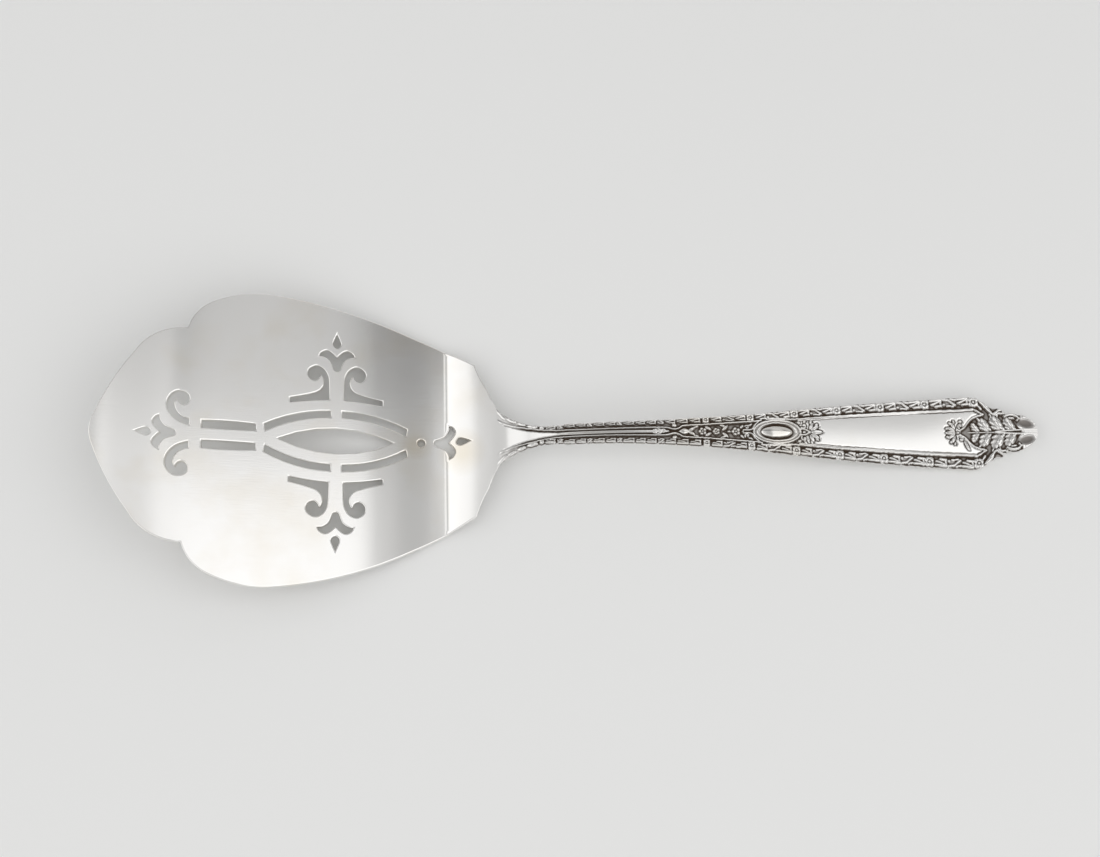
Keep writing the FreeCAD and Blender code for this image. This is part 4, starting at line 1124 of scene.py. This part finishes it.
class SERVER_OT_blade(bpy.types.Operator):
    """Add the pierced blade with its shoulders and throat"""
    bl_idname = "server.add_blade"
    bl_label = "Pierced blade"

    def execute(self, context):
        settings = context.scene.server_blade
        gauge, rounding = settings.gauge / MM, settings.rounding / MM
        mesh = blade_sheet(gauge, rounding)
        mesh.name = "blade"
        cut_sheet(mesh, SHEET_SPACING)
        bend_sheet(mesh, gauge)
        add_piece("blade", mesh, shared_silver("satin_silver"))
        return {"FINISHED"}


class SERVER_OT_handle(bpy.types.Operator):
    """Add the handle with its struck leaf borders, boss, panel and acanthus end"""
    bl_idname = "server.add_handle"
    bl_label = "Ornamented handle"

    def execute(self, context):
        mesh = handle_skin(context.scene.server_handle.depth / MM)
        close_skin(mesh)
        add_piece("handle", mesh, shared_silver("struck_silver"))
        return {"FINISHED"}


class SERVER_OT_stage(bpy.types.Operator):
    """Add the floor, the lights and the camera"""
    bl_idname = "server.add_stage"
    bl_label = "Floor, lights and camera"

    def execute(self, context):
        settings = context.scene.server_stage
        add_floor(settings.floor)
        add_lights(settings.key)
        add_room(context.scene, settings.room)
        context.scene.camera = add_camera()
        context.scene.view_settings.view_transform = "Standard"
        return {"FINISHED"}


def add_floor(colour):
    """Large plain floor under the server."""
    bm = bmesh.new()
    bmesh.ops.create_grid(bm, x_segments=1, y_segments=1, size=4.0)
    mesh = bpy.data.meshes.new("floor")
    bm.to_mesh(mesh)
    bm.free()
    floor = bpy.data.objects.new("floor", mesh)
    bpy.context.collection.objects.link(floor)
    material = bpy.data.materials.new("floor_paper")
    material.use_nodes = True
    shader = material.node_tree.nodes["Principled BSDF"]
    shader.inputs["Base Color"].default_value = (*colour, 1)
    shader.inputs["Roughness"].default_value = 0.9
    mesh.materials.append(material)


# Soft lights over the server: name, x and y from and to, height, in metres, and level
SOFT_LIGHTS = (("key", (0.115, 1.3), (-1.4, 0.207), 0.66, 0.4),
               ("key_core", (0.15, 1.3), (-1.4, 0.207), 0.67, 0.45),
               ("middle", (-0.066, 0.115), (-1.4, 0.207), 0.66, 0.23),
               ("strip", (-0.045, 0.02), (0.12, 0.215), 0.65, 0.18),
               ("near", (-0.23, -0.066), (-1.4, 0.24), 0.66, 0.42),
               ("throat", (-0.37, -0.23), (-1.4, 0.26), 0.66, 0.36),
               ("back", (0.14, 0.46), (0.207, 0.9), 0.66, 0.14),
               ("back_core", (0.18, 0.46), (0.207, 0.9), 0.67, 0.14),
               ("tip", (-0.061, -0.0195), (0.018, 0.07), 0.15, 0.3),
               ("end", (-1.6, -0.37), (-1.4, 0.55), 0.66, 0.71))


def add_lights(power):
    """Level softboxes over the server, with grey gaps between them for the silver to mirror."""
    for name, (west, east), (south, north), height, level in SOFT_LIGHTS:
        light = bpy.data.lights.new(name, "AREA")
        light.shape = "RECTANGLE"
        light.size, light.size_y = east - west, north - south
        light.energy = power * level * light.size * light.size_y
        holder = bpy.data.objects.new(name, light)
        bpy.context.collection.objects.link(holder)
        holder.location = ((west + east) / 2, (south + north) / 2, height)


def add_room(scene, strength):
    """Even grey room, brighter towards its sides."""
    world = bpy.data.worlds.new("room")
    scene.world = world
    world.use_nodes = True
    tree = world.node_tree
    backdrop = tree.nodes["Background"]
    place = node(tree, "ShaderNodeTexCoord").outputs["Generated"]
    split = node(tree, "ShaderNodeSeparateXYZ", [(place, 0)])
    ramp = node(tree, "ShaderNodeMapRange", [(split.outputs["Z"], "Value")],
                in_1=0.5, in_2=0.88, in_3=1.0, in_4=0.45)
    tree.links.new(ramp.outputs["Result"], backdrop.inputs["Color"])
    backdrop.inputs["Strength"].default_value = strength


# Camera: width of the image and length of the lens in pixels, the turns that lay the plan
# of the server out as it was seen, and the place of the lens in the turned plan
IMAGE_WIDTH, LENS_PIXELS, SENSOR_WIDTH = 1100, 1781.5, 36.0
CAMERA_TURNS = (("Y", 1.5227), ("X", -17.0), ("Z", 1.0369))
CAMERA_STAND = (11.195, 2.32, 296.9)
PLAN_LEVEL = 1.2


def add_camera():
    """Camera high over the near side, as the server was seen."""
    camera = bpy.data.cameras.new("camera")
    camera.sensor_width = SENSOR_WIDTH
    camera.lens = LENS_PIXELS / IMAGE_WIDTH * SENSOR_WIDTH
    camera.clip_start, camera.clip_end = 0.01, 20.0
    holder = bpy.data.objects.new("camera", camera)
    bpy.context.collection.objects.link(holder)
    turn = Matrix.Identity(3)
    for axis, angle in CAMERA_TURNS:
        turn = turn @ Matrix.Rotation(math.radians(angle), 3, axis)
    back = turn.transposed()
    spot = (back @ Vector(CAMERA_STAND) + Vector((SHIFT, 0, PLAN_LEVEL))) * MM
    holder.matrix_world = Matrix.LocRotScale(spot, back.to_quaternion(), None)
    return holder


class SERVER_PT_panel(bpy.types.Panel):
    """Lists the settings and the parts of the server"""
    bl_idname = "SERVER_PT_panel"
    bl_label = "Cucumber server"
    bl_space_type = "VIEW_3D"
    bl_region_type = "UI"
    bl_category = "Server"

    def draw(self, context):
        scene = context.scene
        for settings, operator in ((scene.server_blade, "server.add_blade"),
                                   (scene.server_handle, "server.add_handle"),
                                   (scene.server_silver, None),
                                   (scene.server_stage, "server.add_stage")):
            box = self.layout.box()
            for name in settings.__annotations__:
                box.prop(settings, name)
            if operator:
                box.operator(operator)


CLASSES = (ServerBladeSettings, ServerHandleSettings, ServerSilverSettings, ServerStageSettings,
           SERVER_OT_blade, SERVER_OT_handle, SERVER_OT_stage, SERVER_PT_panel)
SETTINGS = {"server_blade": ServerBladeSettings, "server_handle": ServerHandleSettings,
            "server_silver": ServerSilverSettings, "server_stage": ServerStageSettings}


def register():
    for cls in CLASSES:
        bpy.utils.register_class(cls)
    for name, group in SETTINGS.items():
        setattr(bpy.types.Scene, name, bpy.props.PointerProperty(type=group))


def unregister():
    for name in SETTINGS:
        delattr(bpy.types.Scene, name)
    for cls in reversed(CLASSES):
        bpy.utils.unregister_class(cls)


def main():
    register()
    bpy.ops.server.add_blade()
    bpy.ops.server.add_handle()
    bpy.ops.server.add_stage()


if __name__ == "__main__":
    main()
